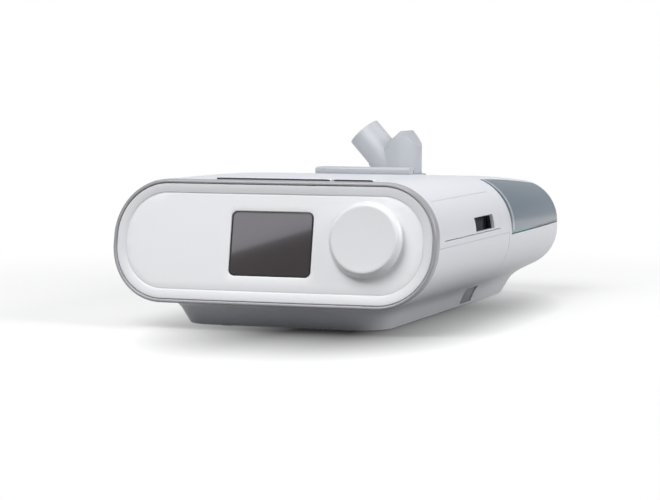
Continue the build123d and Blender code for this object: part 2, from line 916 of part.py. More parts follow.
foot_x = plinth_half - 26
foot_spots_air = [(x, y) for x in (-foot_x, foot_x) for y in (boss_front_y, boss_rear_y)]
with BuildPart() as air_feet:
    with BuildSketch():
        with Locations(*foot_spots_air):
            Circle(foot_radius)
    extrude(amount=foot_height)
save(air_feet, "air_feet")

# ---- humidifier: base ----
post_x = 52.0
humid_post_front_y = 36.5
humid_post_rear_y = 121.0
humid_post_radius = 4.0
humid_posts = [(x, y) for x in (-post_x, post_x) for y in (humid_post_front_y, humid_post_rear_y)]
small_post_x = 34.0
small_post_y = 24.0
small_post_radius = 2.5
humid_board_z = 9.0
humid_board_deep = 16.0
lid_front_radius = lid_hinge_y - lid_front_y
cap_y = lid_hinge_y + hinge_nose + hinge_gap
duct_out = 9.0
duct_x_low = outlet_x - 13.0
duct_x_high = outlet_x + 13.0
riser_front_y = 15.9
riser_rear_y = 23.6
riser_low_z = 22.5
riser_high_z = 64.0
riser_wall = 1.5
spigot_in_port = 7.0
jack_block = 12.0
jack_back = 3.5
release_mid_y = release_top_front_y + (release_wide + release_slant) / 2
release_mid_z = (release_low_z + release_high_z) / 2


def hinge_drum(radius):
    """A drum about the lid's hinge axis."""
    with BuildPart() as drum:
        with BuildSketch(Plane.YZ.offset(-width)):
            with Locations((lid_hinge_y, lid_hinge_z)):
                Circle(radius)
        extrude(amount=2 * width)
    return drum.part


def lid_space(grow, edge_gap):
    """The space that the closed lid takes, grown at its ends and below its edge."""
    with BuildPart() as space:
        add(hinge_drum(lid_front_radius + grow))
        add(
            block((-width, humid_y + 1, lid_edge_z - edge_gap), (width, lid_hinge_y, sky_z)),
            mode=Mode.INTERSECT,
        )
        add(hinge_drum(hinge_nose + grow))
        add(
            block(
                (-width, lid_hinge_y - 1, lid_edge_z - edge_gap),
                (width, lid_hinge_y + hinge_nose + grow, lid_hinge_z),
            )
        )
    return space.part


def release_shape(grow, near_x, far_x):
    """The leaning outline of the dock release, extruded across the machine."""
    with BuildPart() as made:
        with BuildSketch(Plane.YZ.offset(near_x)):
            with BuildLine():
                Polyline(
                    (release_top_front_y - grow, release_high_z + grow),
                    (release_top_front_y + release_wide + grow, release_high_z + grow),
                    (release_top_front_y + release_wide + release_slant + grow, release_low_z - grow),
                    (release_top_front_y + release_slant - grow, release_low_z - grow),
                    close=True,
                )
            make_face()
        extrude(amount=far_x - near_x)
    return made.part


with BuildPart() as humid_hollow_maker:
    add(inner)
    add(plinth_inner)
    add(above_floor, mode=Mode.INTERSECT)
    add(
        block((-width, humid_y + dock_wall, under_z), (width, big, lid_edge_z - wall)),
        mode=Mode.INTERSECT,
    )
humid_hollow = humid_hollow_maker.part

with BuildPart() as rim_maker:
    add(inner)
    add(block((-width, rim_front_y, lid_edge_z - wall - 1), (width, cap_y, sky_z)), mode=Mode.INTERSECT)
rim_opening = rim_maker.part

with BuildPart() as cap_maker:
    add(inner)
    add(block((-width, cap_y + wall, lid_edge_z - wall - 1), (width, big, sky_z)), mode=Mode.INTERSECT)
cap_hollow = cap_maker.part

with BuildPart() as humidifier_base:
    add(outer)
    add(plinth)
    add(block((-width, humid_y, under_z), (width, big, sky_z)), mode=Mode.INTERSECT)
    add(humid_hollow, mode=Mode.SUBTRACT)
    add(lid_space(run_gap, lid_under_gap), mode=Mode.SUBTRACT)
    add(block((-width, lid_hinge_y, lid_hinge_z), (width, cap_y, sky_z)), mode=Mode.SUBTRACT)
    add(rim_opening, mode=Mode.SUBTRACT)
    add(cap_hollow, mode=Mode.SUBTRACT)
    with BuildSketch(Plane.XY.offset(foot_height)):
        with Locations(*humid_posts):
            Circle(humid_post_radius)
    extrude(amount=tray_low_z - fit_gap - foot_height)
    with BuildSketch(Plane.XY.offset(foot_height)):
        with Locations(*humid_posts):
            Circle(screw_radius + fit_gap)
    extrude(amount=tray_low_z, mode=Mode.SUBTRACT)
    with BuildSketch(Plane.XY.offset(foot_height)):
        with Locations(*humid_posts):
            Circle(screw_head_radius + fit_gap)
    extrude(amount=screw_head_height + fit_gap, mode=Mode.SUBTRACT)
    with BuildSketch(Plane.XY.offset(foot_height)):
        with Locations((-small_post_x, small_post_y), (small_post_x, small_post_y)):
            Circle(small_post_radius)
    extrude(amount=humid_board_z - fit_gap - foot_height)
    for x in (-hinge_ear_x, hinge_ear_x):
        with BuildSketch(Plane.YZ.offset(x - hinge_lug_wide / 2)):
            with Locations((lid_hinge_y, lid_hinge_z)):
                Circle(hinge_barrel)
            with BuildLine():
                Polyline(
                    (lid_hinge_y, lid_hinge_z - hinge_barrel),
                    (cap_y + wall, lid_hinge_z - hinge_barrel),
                    (cap_y + wall, lid_hinge_z + hinge_arm_rise),
                    (lid_hinge_y, lid_hinge_z + hinge_arm_rise),
                    close=True,
                )
            make_face()
            with Locations((lid_hinge_y, lid_hinge_z)):
                Circle(hinge_pin_radius + press_gap / 2, mode=Mode.SUBTRACT)
        extrude(amount=hinge_lug_wide)
    with BuildSketch(Plane.XZ.offset(-humid_y)):
        with Locations((outlet_x, outlet_z)):
            Circle(duct_out + fit_gap)
        with Locations((connector_x, outlet_z)):
            Rectangle(plug_wide + 2 * fit_gap, plug_high + 2 * fit_gap)
    extrude(amount=-2 * dock_wall, mode=Mode.SUBTRACT)
    with BuildSketch(Plane.XZ.offset(-rear_y)):
        with Locations((jack_x, jack_z)):
            Rectangle(jack_block + 2 * fit_gap, jack_block + 2 * fit_gap)
    extrude(amount=2 * wall, both=True, mode=Mode.SUBTRACT)
    add(release_shape(run_gap, release_inner_x, width / 2), mode=Mode.SUBTRACT)
    add(
        block(
            (guide_x, release_mid_y - guide_deep / 2, foot_height),
            (guide_x + guide_wide, release_mid_y + guide_deep / 2, release_high_z),
        )
    )
    with BuildSketch(Plane.YZ.offset(guide_x - 1)):
        with Locations((release_mid_y, release_mid_z)):
            Circle(release_stem + shaft_gap)
    extrude(amount=guide_wide + 2, mode=Mode.SUBTRACT)
save(humidifier_base, "humidifier_base")

# ---- humidifier: what sits on and in the base ----
with BuildPart() as dock_release:
    add(plinth_form(release_sink))
    add(plinth_form(release_sink + release_thick), mode=Mode.SUBTRACT)
    add(release_shape(0, release_inner_x, width / 2), mode=Mode.INTERSECT)
    with BuildSketch(Plane.YZ.offset(guide_x - 1)):
        with Locations((release_mid_y, release_mid_z)):
            Circle(release_stem)
    extrude(amount=plinth_half + 2 - guide_x)
save(dock_release, "dock_release")

tank_mid_y = (tank_front_y + tank_rear_y) / 2
tank_deep = tank_rear_y - tank_front_y
heater_mid_y = (heater_front_y + heater_rear_y) / 2
heater_deep = heater_rear_y - heater_front_y
heater_corner = 8.0
heater_lip = 4.0
tub_floor = 1.8


def tub_sketch(grow):
    """The tank's plan outline, grown by grow; use inside a sketch."""
    with Locations((0, tank_mid_y)):
        RectangleRounded(2 * (tank_half + grow), tank_deep + 2 * grow, tank_corner + grow)


with BuildPart() as tray_deck:
    add(body_form(wall + fit_gap))
    add(
        block((-width, rim_front_y + fit_gap, deck_z), (width, cap_y - fit_gap, deck_z + deck_thick)),
        mode=Mode.INTERSECT,
    )
    with BuildSketch(Plane.XY.offset(tray_low_z)):
        tub_sketch(tray_gap + tray_wall)
    extrude(amount=deck_z + deck_thick - tray_low_z)
    with BuildSketch(Plane.XY.offset(tray_low_z + tub_floor)):
        tub_sketch(tray_gap)
    extrude(amount=deck_z + deck_thick, mode=Mode.SUBTRACT)
    with BuildSketch(Plane.XY.offset(tray_low_z - 1)):
        with Locations((0, heater_mid_y)):
            RectangleRounded(2 * heater_half + 2 * fit_gap, heater_deep + 2 * fit_gap, heater_corner)
        with Locations(*humid_posts):
            Circle(screw_radius)
    extrude(amount=2 + tub_floor, mode=Mode.SUBTRACT)
    add(
        block(
            (duct_x_low - fit_gap, humid_y, deck_z - 1),
            (duct_x_high + fit_gap, riser_rear_y + fit_gap, deck_z + deck_thick + 1),
        ),
        mode=Mode.SUBTRACT,
    )
save(tray_deck, "tray_deck")

with BuildPart() as humidifier_screws:
    with BuildSketch(Plane.XY.offset(foot_height + fit_gap)):
        with Locations(*humid_posts):
            Circle(screw_head_radius)
    extrude(amount=screw_head_height - fit_gap)
    with BuildSketch(Plane.XY.offset(foot_height + fit_gap)):
        with Locations(*humid_posts):
            Circle(screw_radius - press_gap)
    extrude(amount=tray_low_z + tub_floor - foot_height - 2 * fit_gap)
save(humidifier_screws, "humidifier_screws")

heater_thick = 2.0
heater_top_z = tank_low_z - seat_gap
with BuildPart() as heater_plate:
    with BuildSketch(Plane.XY.offset(heater_top_z - heater_thick)):
        with Locations((0, heater_mid_y)):
            RectangleRounded(2 * heater_half, heater_deep, heater_corner)
    extrude(amount=heater_thick)
save(heater_plate, "heater_plate")

element_thick = 1.2
element_z = heater_top_z - heater_thick - seat_gap - element_thick
element_margin = 7.0
with BuildPart() as heater_element:
    with BuildSketch(Plane.XY.offset(element_z)):
        with Locations((0, heater_mid_y)):
            RectangleRounded(
                2 * (heater_half - element_margin), heater_deep - 2 * element_margin, heater_corner / 2
            )
    extrude(amount=element_thick)
save(heater_element, "heater_element")

carrier_thick = 1.6
carrier_seat_z = element_z - seat_gap
with BuildPart() as heater_carrier:
    with BuildSketch(Plane.XY.offset(carrier_seat_z - carrier_thick)):
        with Locations((0, heater_mid_y)):
            RectangleRounded(2 * heater_half + 2 * heater_lip, heater_deep + 2 * heater_lip, heater_corner)
    extrude(amount=tray_low_z - 2 * seat_gap - carrier_seat_z + carrier_thick)
    with BuildSketch(Plane.XY.offset(carrier_seat_z)):
        with Locations((0, heater_mid_y)):
            RectangleRounded(2 * heater_half + fit_gap, heater_deep + fit_gap, heater_corner)
    extrude(amount=heater_thick + element_thick, mode=Mode.SUBTRACT)
save(heater_carrier, "heater_carrier")

with BuildPart() as water_tank:
    with BuildSketch(Plane.XY.offset(tank_low_z)):
        tub_sketch(0)
    extrude(amount=tank_high_z - tank_low_z)
    with BuildSketch(Plane.XY.offset(tank_low_z + tank_wall)):
        tub_sketch(-tank_wall)
    extrude(amount=tank_high_z - tank_low_z, mode=Mode.SUBTRACT)
    with BuildSketch(Plane.XY.offset(tank_low_z - 1)):
        with Locations((0, heater_mid_y)):
            RectangleRounded(2 * heater_half - 2 * heater_lip, heater_deep - 2 * heater_lip, heater_corner)
    extrude(amount=2 * tank_wall, mode=Mode.SUBTRACT)
save(water_tank, "water_tank")

plate_thick = 0.8
with BuildPart() as tank_plate:
    with BuildSketch(Plane.XY.offset(tank_low_z)):
        with Locations((0, heater_mid_y)):
            RectangleRounded(
                2 * (heater_half - heater_lip - fit_gap),
                heater_deep - 2 * (heater_lip + fit_gap),
                heater_corner,
            )
    extrude(amount=tank_wall)
    with BuildSketch(Plane.XY.offset(tank_low_z + tank_wall)):
        with Locations((0, heater_mid_y)):
            RectangleRounded(2 * heater_half, heater_deep, heater_corner)
    extrude(amount=plate_thick)
save(tank_plate, "tank_plate")

cover_thick = 1.8
cover_lip = 4.0
cover_z = tank_high_z + seat_gap
outlet_hole = 12.0
inlet_hole_y = tank_front_y + 9.0
inlet_hole_deep = 8.0
inlet_hole_corner = 3.0
with BuildPart() as tank_cover:
    with BuildSketch(Plane.XY.offset(cover_z)):
        tub_sketch(0)
    extrude(amount=cover_thick)
    with BuildSketch(Plane.XY.offset(cover_z - cover_lip)):
        tub_sketch(-tank_wall - fit_gap)
        tub_sketch(-2 * tank_wall - fit_gap)
    extrude(amount=cover_lip)
    with BuildSketch(Plane.XY.offset(cover_z - cover_lip - 1)):
        tub_sketch(-2 * tank_wall - fit_gap)
    extrude(amount=cover_lip + 1, mode=Mode.SUBTRACT)
    with BuildSketch(Plane.XY.offset(cover_z - 1)):
        with Locations((0, port_y)):
            Circle(outlet_hole)
        with Locations((outlet_x, inlet_hole_y)):
            RectangleRounded(duct_x_high - duct_x_low, inlet_hole_deep, inlet_hole_corner)
    extrude(amount=2 * cover_thick, mode=Mode.SUBTRACT)
save(tank_cover, "tank_cover")

with BuildPart() as air_duct:
    add(block((duct_x_low, riser_front_y, riser_low_z), (duct_x_high, riser_rear_y, riser_high_z)))
    with BuildSketch(Plane.XZ.offset(-riser_front_y)):
        with Locations((outlet_x, outlet_z)):
            Circle(duct_out)
    extrude(amount=riser_front_y - dock_y + spigot_in_port)
    add(
        block(
            (duct_x_low + riser_wall, riser_front_y + riser_wall, riser_low_z + riser_wall),
            (duct_x_high - riser_wall, riser_rear_y - riser_wall, riser_high_z + 1),
        ),
        mode=Mode.SUBTRACT,
    )
    with BuildSketch(Plane.XZ.offset(-riser_front_y - 2 * riser_wall)):
        with Locations((outlet_x, outlet_z)):
            Circle(duct_out - riser_wall)
    extrude(amount=2 * (riser_front_y - dock_y + spigot_in_port), mode=Mode.SUBTRACT)
save(air_duct, "air_duct")

plug_flange = 2.0
with BuildPart() as dock_plug:
    with BuildSketch(Plane.XZ.offset(-(dock_y - plug_long))):
        with Locations((connector_x, outlet_z)):
            Rectangle(plug_wide, plug_high)
    extrude(amount=-(plug_long + dock_gap + dock_wall + plug_flange))
    with BuildSketch(Plane.XZ.offset(-(humid_y + dock_wall + fit_gap))):
        with Locations((connector_x, outlet_z)):
            Rectangle(plug_wide + 2 * plug_flange, plug_high + 2 * plug_flange)
    extrude(amount=-plug_flange)
save(dock_plug, "dock_plug")

with BuildPart() as humidifier_board:
    with BuildSketch(Plane.XY.offset(humid_board_z)):
        with Locations((0, small_post_y)):
            RectangleRounded(2 * (small_post_x + board_margin), humid_board_deep, 2)
    extrude(amount=board_thick)
save(humidifier_board, "humidifier_board")

jack_pin_radius = 1.2
jack_pin_sink = 1.5  # the centre pin ends this far inside the mouth
with BuildPart() as power_jack:
    with BuildSketch(Plane.XZ.offset(-(rear_y - jack_depth - jack_back))):
        with Locations((jack_x, jack_z)):
            Rectangle(jack_block, jack_block)
    extrude(amount=-(jack_depth + jack_back - fit_gap))
    with BuildSketch(Plane.XZ.offset(-(rear_y - jack_depth))):
        with Locations((jack_x, jack_z)):
            Circle(jack_radius)
            Circle(jack_pin_radius, mode=Mode.SUBTRACT)
    extrude(amount=-2 * jack_depth, mode=Mode.SUBTRACT)
    with BuildSketch(Plane.XZ.offset(-(rear_y - jack_pin_sink))):
        with Locations((jack_x, jack_z)):
            Circle(jack_radius)
    extrude(amount=-jack_depth, mode=Mode.SUBTRACT)
save(power_jack, "power_jack")

foot_spots_humid = [(x, y) for x in (-foot_x, foot_x) for y in (humid_post_front_y, humid_post_rear_y)]
with BuildPart() as humidifier_feet:
    with BuildSketch():
        with Locations(*foot_spots_humid):
            Circle(foot_radius)
    extrude(amount=foot_height)
save(humidifier_feet, "humidifier_feet")

# ---- lid ----
window_layer = 1.7
hinge_relief = 4.0  # the window's layer under the lid's top ends this far before the hinge
collar_radius = 16.0
collar_top_z = elbow_base_z - 0.2
collar_step_z = 67.8
collar_low_z = 62.4
skirt_bore = neck_flange + 0.5
pocket_gap = run_gap
latch_rear_y = latch_axis_y + latch_barrel
ear_foot_z = latch_low_z - 0.7
latch_ear = latch_barrel - 0.1
latch_edge = 1.2


def latch_ears(grow):
    """The two ears on the lid that hold the latch pin, grown by grow."""
    with BuildPart() as ears:
        for x in (-latch_ear_x, latch_ear_x):
            with BuildSketch(Plane.YZ.offset(x - latch_ear_wide / 2 - grow)):
                with Locations((latch_axis_y, latch_axis_z)):
                    Circle(latch_ear + grow)
                with Locations((latch_axis_y, (latch_axis_z + ear_foot_z) / 2)):
                    Rectangle(2 * (latch_ear + grow), latch_axis_z - ear_foot_z)
            extrude(amount=latch_ear_wide + 2 * grow)
    return ears.part


closed_lid = lid_space(0, 0)
with BuildPart() as lid_top:
    add(outer)
    add(body_form(lid_skin), mode=Mode.SUBTRACT)
    add(closed_lid, mode=Mode.INTERSECT)
    add(
        block((-window_edge_x, humid_y, lid_edge_z), (window_edge_x, rear_y, sky_z)),
        mode=Mode.INTERSECT,
    )
    add(
        block(
            (-latch_half - pocket_gap, humid_y, latch_low_z - pocket_gap),
            (latch_half + pocket_gap, latch_rear_y + pocket_gap, sky_z),
        ),
        mode=Mode.SUBTRACT,
    )
    add(latch_ears(0))
    for x in (-hinge_lug_x, hinge_lug_x):
        with BuildSketch(Plane.YZ.offset(x - hinge_lug_wide / 2)):
            with Locations((lid_hinge_y, lid_hinge_z)):
                Circle(hinge_barrel)
        extrude(amount=hinge_lug_wide)
    for x in (-hinge_ear_x, hinge_ear_x):
        add(
            block(
                (x - hinge_lug_wide / 2 - run_gap, lid_hinge_y - hinge_notch, lid_edge_z),
                (x + hinge_lug_wide / 2 + run_gap, rear_y, sky_z),
            ),
            mode=Mode.SUBTRACT,
        )
    with BuildSketch(Plane.YZ.offset(-width / 2)):
        with Locations((lid_hinge_y, lid_hinge_z)):
            Circle(hinge_pin_radius + press_gap)
    extrude(amount=width, mode=Mode.SUBTRACT)
    with BuildSketch(Plane.YZ.offset(-latch_half)):
        with Locations((latch_axis_y, latch_axis_z)):
            Circle(latch_pin_radius + press_gap / 2)
    extrude(amount=2 * latch_half, mode=Mode.SUBTRACT)
    with BuildSketch(Plane.XY.offset(lid_edge_z)):
        with Locations((0, port_y)):
            Circle(collar_radius + fit_gap)
    extrude(amount=sky_z, mode=Mode.SUBTRACT)
save(lid_top, "lid_top")

with BuildPart() as under_top:
    add(outer)
    add(body_form(lid_skin + fit_gap), mode=Mode.SUBTRACT)
    add(
        block(
            (-window_edge_x - fit_gap, humid_y, lid_edge_z),
            (window_edge_x + fit_gap, rear_y, sky_z),
        ),
        mode=Mode.INTERSECT,
    )
with BuildPart() as lid_window:
    add(outer)
    add(body_form(lid_skin + fit_gap + window_layer), mode=Mode.SUBTRACT)
    add(closed_lid, mode=Mode.INTERSECT)
    add(under_top.part, mode=Mode.SUBTRACT)
    add(
        block(
            (-window_edge_x, lid_hinge_y - hinge_relief, lid_edge_z),
            (window_edge_x, rear_y, sky_z),
        ),
        mode=Mode.SUBTRACT,
    )
    with BuildSketch(Plane.XY.offset(lid_edge_z)):
        with Locations((0, port_y)):
            Circle(collar_radius + fit_gap)
    extrude(amount=sky_z, mode=Mode.SUBTRACT)
save(lid_window, "lid_window")

with BuildPart() as hinge_pins:
    for x in (-hinge_ear_x, hinge_ear_x):
        inner_x = abs(hinge_lug_x) - hinge_lug_wide / 2
        outer_x = abs(hinge_ear_x) + hinge_lug_wide / 2
        start_x = inner_x if x > 0 else -outer_x
        with BuildSketch(Plane.YZ.offset(start_x)):
            with Locations((lid_hinge_y, lid_hinge_z)):
                Circle(hinge_pin_radius - press_gap)
        extrude(amount=outer_x - inner_x)
save(hinge_pins, "hinge_pins")

with BuildPart() as port_collar:
    with BuildSketch(Plane.XY.offset(collar_low_z)):
        with Locations((0, port_y)):
            Circle(collar_radius)
    extrude(amount=collar_top_z - collar_low_z)
    with BuildSketch(Plane.XY.offset(collar_low_z)):
        with Locations((0, port_y)):
            Circle(neck_radius + shaft_gap)
    extrude(amount=collar_top_z - collar_low_z, mode=Mode.SUBTRACT)
    with BuildSketch(Plane.XY.offset(collar_low_z)):
        with Locations((0, port_y)):
            Circle(skirt_bore)
    extrude(amount=collar_step_z - collar_low_z, mode=Mode.SUBTRACT)
save(port_collar, "port_collar")

with BuildPart() as outlet_seal:
    with BuildSketch(Plane.XY.offset(cover_z + cover_thick + 2 * seat_gap)):
        with Locations((0, port_y)):
            Circle(collar_radius)
            Circle(skirt_bore, mode=Mode.SUBTRACT)
    extrude(amount=collar_low_z - cover_z - cover_thick - 3 * seat_gap)
save(outlet_seal, "outlet_seal")

# ---- lid latch ----
with BuildPart() as lid_latch:
    with BuildSketch(Plane.YZ.offset(-latch_half)):
        with BuildLine():
            Polyline(
                (latch_front_y, latch_low_z), (latch_axis_y, latch_low_z), (latch_axis_y, latch_axis_z),
                (latch_rear_y, latch_axis_z), (latch_rear_y, latch_top_z), (latch_front_y, latch_top_z),
                close=True,
            )
        make_face()
        with Locations((latch_axis_y, latch_axis_z)):
            Circle(latch_barrel)
    extrude(amount=2 * latch_half)
    fillet(lid_latch.faces().sort_by(Axis.Z)[-1].edges(), latch_edge)
    add(latch_ears(run_gap), mode=Mode.SUBTRACT)
    with BuildSketch(Plane.YZ.offset(-latch_half)):
        with Locations((latch_axis_y, latch_axis_z)):
            Circle(latch_pin_radius + shaft_gap)
    extrude(amount=2 * latch_half, mode=Mode.SUBTRACT)
save(lid_latch, "lid_latch")

with BuildPart() as latch_pin:
    with BuildSketch(Plane.YZ.offset(-latch_half + 1)):
        with Locations((latch_axis_y, latch_axis_z)):
            Circle(latch_pin_radius - press_gap)
    extrude(amount=2 * latch_half - 2)
save(latch_pin, "latch_pin")

# ---- outlet elbow ----
lean = radians(elbow_lean)
spigot_dir = Vector(-cos(lean), 0, sin(lean))
spigot_foot = Vector(0, port_y, 77.0)
shoulder_along = 19.4
spigot_start = 8.0
spigot_root_radius = 11.6  # below the shoulder that stops the hose
bore_start = 13.5
slope_normal = Vector(0.725, 0, 0.689)
slope_point = Vector(elbow_slope_x, port_y, elbow_slope_z)
flange_thick = 1.5
flange_gap = 0.3
neck_low_z = collar_step_z - flange_gap - flange_thick
elbow_cut_z = 130.0
vertical_bore_z = 94.0


def spigot_plane(along):
    """The plane across the spigot's axis, at a distance along it."""
    return Plane(origin=spigot_foot + spigot_dir * along, x_dir=(0, 1, 0), z_dir=spigot_dir)


with BuildPart() as elbow_maker:
    with BuildSketch(Plane.XY.offset(elbow_base_z)):
        with Locations((0, port_y)):
            Circle(elbow_radius)
    extrude(amount=elbow_cut_z - elbow_base_z)
    with BuildSketch(spigot_plane(shoulder_along)):
        Rectangle(width, width)
    extrude(amount=reach_x, mode=Mode.SUBTRACT)
    with BuildSketch(Plane(origin=slope_point, x_dir=(0, 1, 0), z_dir=slope_normal)):
        Rectangle(width, width)
    extrude(amount=reach_x, mode=Mode.SUBTRACT)
    with BuildSketch(spigot_plane(spigot_start)):
        Circle(spigot_root_radius)
    extrude(amount=shoulder_along - spigot_start)
    with BuildSketch(spigot_plane(shoulder_along)):
        Circle(spigot_radius)
    extrude(amount=spigot_length)
    add(block((-width, 0, 0), (width, length, elbow_base_z)), mode=Mode.SUBTRACT)
with BuildPart() as outlet_elbow:
    add(elbow_maker.part)
    with BuildSketch(Plane.XY.offset(neck_low_z)):
        with Locations((0, port_y)):
            Circle(neck_radius)
    extrude(amount=elbow_base_z + 1 - neck_low_z)
    with BuildSketch(Plane.XY.offset(neck_low_z)):
        with Locations((0, port_y)):
            Circle(neck_flange)
    extrude(amount=flange_thick)
    with BuildSketch(Plane.XY.offset(neck_low_z)):
        with Locations((0, port_y)):
            Circle(port_bore)
    extrude(amount=vertical_bore_z - neck_low_z, mode=Mode.SUBTRACT)
    with BuildSketch(spigot_plane(bore_start)):
        Circle(port_bore)
    extrude(amount=reach_x, mode=Mode.SUBTRACT)
save(outlet_elbow, "outlet_elbow")
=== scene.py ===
import json
import math

import bmesh
import bpy
import numpy as np
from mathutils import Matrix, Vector
from mathutils.geometry import delaunay_2d_cdt


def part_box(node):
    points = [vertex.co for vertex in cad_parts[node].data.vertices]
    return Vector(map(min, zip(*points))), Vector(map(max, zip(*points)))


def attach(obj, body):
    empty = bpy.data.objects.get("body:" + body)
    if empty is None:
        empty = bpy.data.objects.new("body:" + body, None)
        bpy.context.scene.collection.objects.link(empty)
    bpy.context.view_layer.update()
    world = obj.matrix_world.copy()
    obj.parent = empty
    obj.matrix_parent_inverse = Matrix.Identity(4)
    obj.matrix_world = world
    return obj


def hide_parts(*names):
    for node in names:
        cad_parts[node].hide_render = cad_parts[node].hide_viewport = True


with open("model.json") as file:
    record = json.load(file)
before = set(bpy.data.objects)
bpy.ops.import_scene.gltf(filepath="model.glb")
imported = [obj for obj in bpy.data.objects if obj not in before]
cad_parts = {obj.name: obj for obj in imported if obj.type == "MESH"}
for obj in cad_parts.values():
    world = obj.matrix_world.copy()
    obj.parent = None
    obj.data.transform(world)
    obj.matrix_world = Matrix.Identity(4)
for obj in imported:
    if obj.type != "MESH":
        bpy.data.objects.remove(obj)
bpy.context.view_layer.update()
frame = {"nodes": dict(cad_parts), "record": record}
nodes = frame["nodes"]
mm = 0.001
scene = bpy.context.scene
scene.view_settings.view_transform = "Standard"
slotOf = {s["node"]: s["material_slot"] for s in frame["record"]["subparts"]}
bodyOf = {n: b for b, ns in frame["record"]["behaviour"]["bodies"].items() for n in ns}
print("stage: frame loaded")

# The body's outside in millimetres. Each station is y, half width, underside, top, corner radius.
body = {
    "stations": [
        (-160.5, 96.5, 15.0, 84.2, 32.0),
        (-59.4, 96.4, 14.8, 83.4, 32.0),
        (10.0, 96.1, 14.7, 81.6, 31.0),
        (74.25, 95.0, 15.0, 78.3, 29.5),
        (148.5, 92.0, 17.5, 72.6, 25.5),
    ],
    "rearY": 148.5,
    "rearRound": 11.0,
    "plinthHalf": 61.0,
    "plinthFront": -125.5,
    "plinthRear": 131.0,
    "plinthCorner": 19.0,
    "plinthLean": 31.0,
    "footHeight": 1.0,
    "plinthCap": 26.0,
    "blend": 6.5,
    "blendTop": 25.0,
    "blendFade": 5.0,
    "frontY": -148.5,
    "faceFoot": 15.0,
    "tilt": 10.8,
    "bow": 2.96,
    "half": 96.5,
}
stationTable = np.array(body["stations"])
yScale = 100.0
sectionFits = [np.polyfit(stationTable[:, 0] / yScale, stationTable[:, k], 4) for k in range(1, 5)]
tilt = math.radians(body["tilt"])


def section(y):
    return [np.polyval(fit, np.asarray(y) / yScale) for fit in sectionFits]


def roundedBox(u, v, halfU, halfV, radius):
    a = np.abs(u) - (halfU - radius)
    b = np.abs(v) - (halfV - radius)
    outside = np.hypot(np.maximum(a, 0), np.maximum(b, 0))
    return outside + np.minimum(np.maximum(a, b), 0) - radius


def bodyField(p):
    half, low, high, radius = section(p[:, 1])
    across = roundedBox(p[:, 0], p[:, 2] - (low + high) / 2, half, (high - low) / 2, radius)
    r = body["rearRound"]
    a = across + r
    b = p[:, 1] - body["rearY"] + r
    return np.minimum(np.maximum(a, b), 0) + np.hypot(np.maximum(a, 0), np.maximum(b, 0)) - r


def plinthField(p):
    lean = math.radians(body["plinthLean"])
    halfY = (body["plinthRear"] - body["plinthFront"]) / 2
    midY = (body["plinthRear"] + body["plinthFront"]) / 2
    grown = roundedBox(p[:, 0], p[:, 1] - midY, body["plinthHalf"], halfY, body["plinthCorner"])
    cone = (grown - (p[:, 2] - body["footHeight"]) * math.tan(lean)) * math.cos(lean)
    return np.maximum(cone, p[:, 2] - body["plinthCap"])


def bothFields(p):
    return np.minimum(bodyField(p), plinthField(p))


# Body and plinth, joined by a soft concave corner.
def wholeField(p):
    a = bodyField(p)
    b = plinthField(p)
    k = body["blend"]
    low = np.clip((body["blendTop"] - p[:, 2]) / body["blendFade"], 0, 1)
    h = low * np.maximum(k - np.abs(a - b), 0) / k
    return np.minimum(a, b) - h * h * k / 4


def slope(field, p):
    step = 0.02
    g = np.empty_like(p)
    for i in range(3):
        d = np.zeros(3)
        d[i] = step
        g[:, i] = (field(p + d) - field(p - d)) / (2 * step)
    return g / np.maximum(np.linalg.norm(g, axis=1, keepdims=True), 1e-9)


# A point on the front face: x, distance up the face, depth behind its flat middle plane.
def facePoint(x, up, depth):
    y = body["frontY"] + up * math.sin(tilt) + depth * math.cos(tilt)
    z = body["faceFoot"] + up * math.cos(tilt) - depth * math.sin(tilt)
    return (x, y, z)


def sag(x):
    return body["bow"] * (x / body["half"]) ** 2


# materials
materialTable = {}


def plain(name, colour, rough=0.4, metal=0.0, coat=0.0, **more):
    m = bpy.data.materials.new(name)
    m.use_nodes = True
    shader = m.node_tree.nodes["Principled BSDF"]
    shader.inputs["Base Color"].default_value = (*colour[:3], 1)
    shader.inputs["Roughness"].default_value = rough
    shader.inputs["Metallic"].default_value = metal
    shader.inputs["Coat Weight"].default_value = coat
    for key, value in more.items():
        shader.inputs[key.replace("_", " ")].default_value = value
    materialTable[name] = m
    return m


def mapRange(tree, value, fromLow, fromHigh, toLow=0.0, toHigh=1.0, smooth=False):
    node = tree.nodes.new("ShaderNodeMapRange")
    if smooth:
        node.interpolation_type = "SMOOTHSTEP"
    limits = {"From Min": fromLow, "From Max": fromHigh, "To Min": toLow, "To Max": toHigh}
    for label, limit in limits.items():
        node.inputs[label].default_value = limit
    tree.links.new(value, node.inputs["Value"])
    return node.outputs["Result"]


# A fine moulded grain on Object coordinates.
def speckle(material, scale, strength, distance=0.00005):
    tree = material.node_tree
    where = tree.nodes.new("ShaderNodeTexCoord")
    noise = tree.nodes.new("ShaderNodeTexNoise")
    noise.inputs["Scale"].default_value = scale
    noise.inputs["Detail"].default_value = 3
    bump = tree.nodes.new("ShaderNodeBump")
    bump.inputs["Strength"].default_value = strength
    bump.inputs["Distance"].default_value = distance
    tree.links.new(where.outputs["Object"], noise.inputs["Vector"])
    tree.links.new(noise.outputs["Fac"], bump.inputs["Height"])
    tree.links.new(bump.outputs["Normal"], tree.nodes["Principled BSDF"].inputs["Normal"])


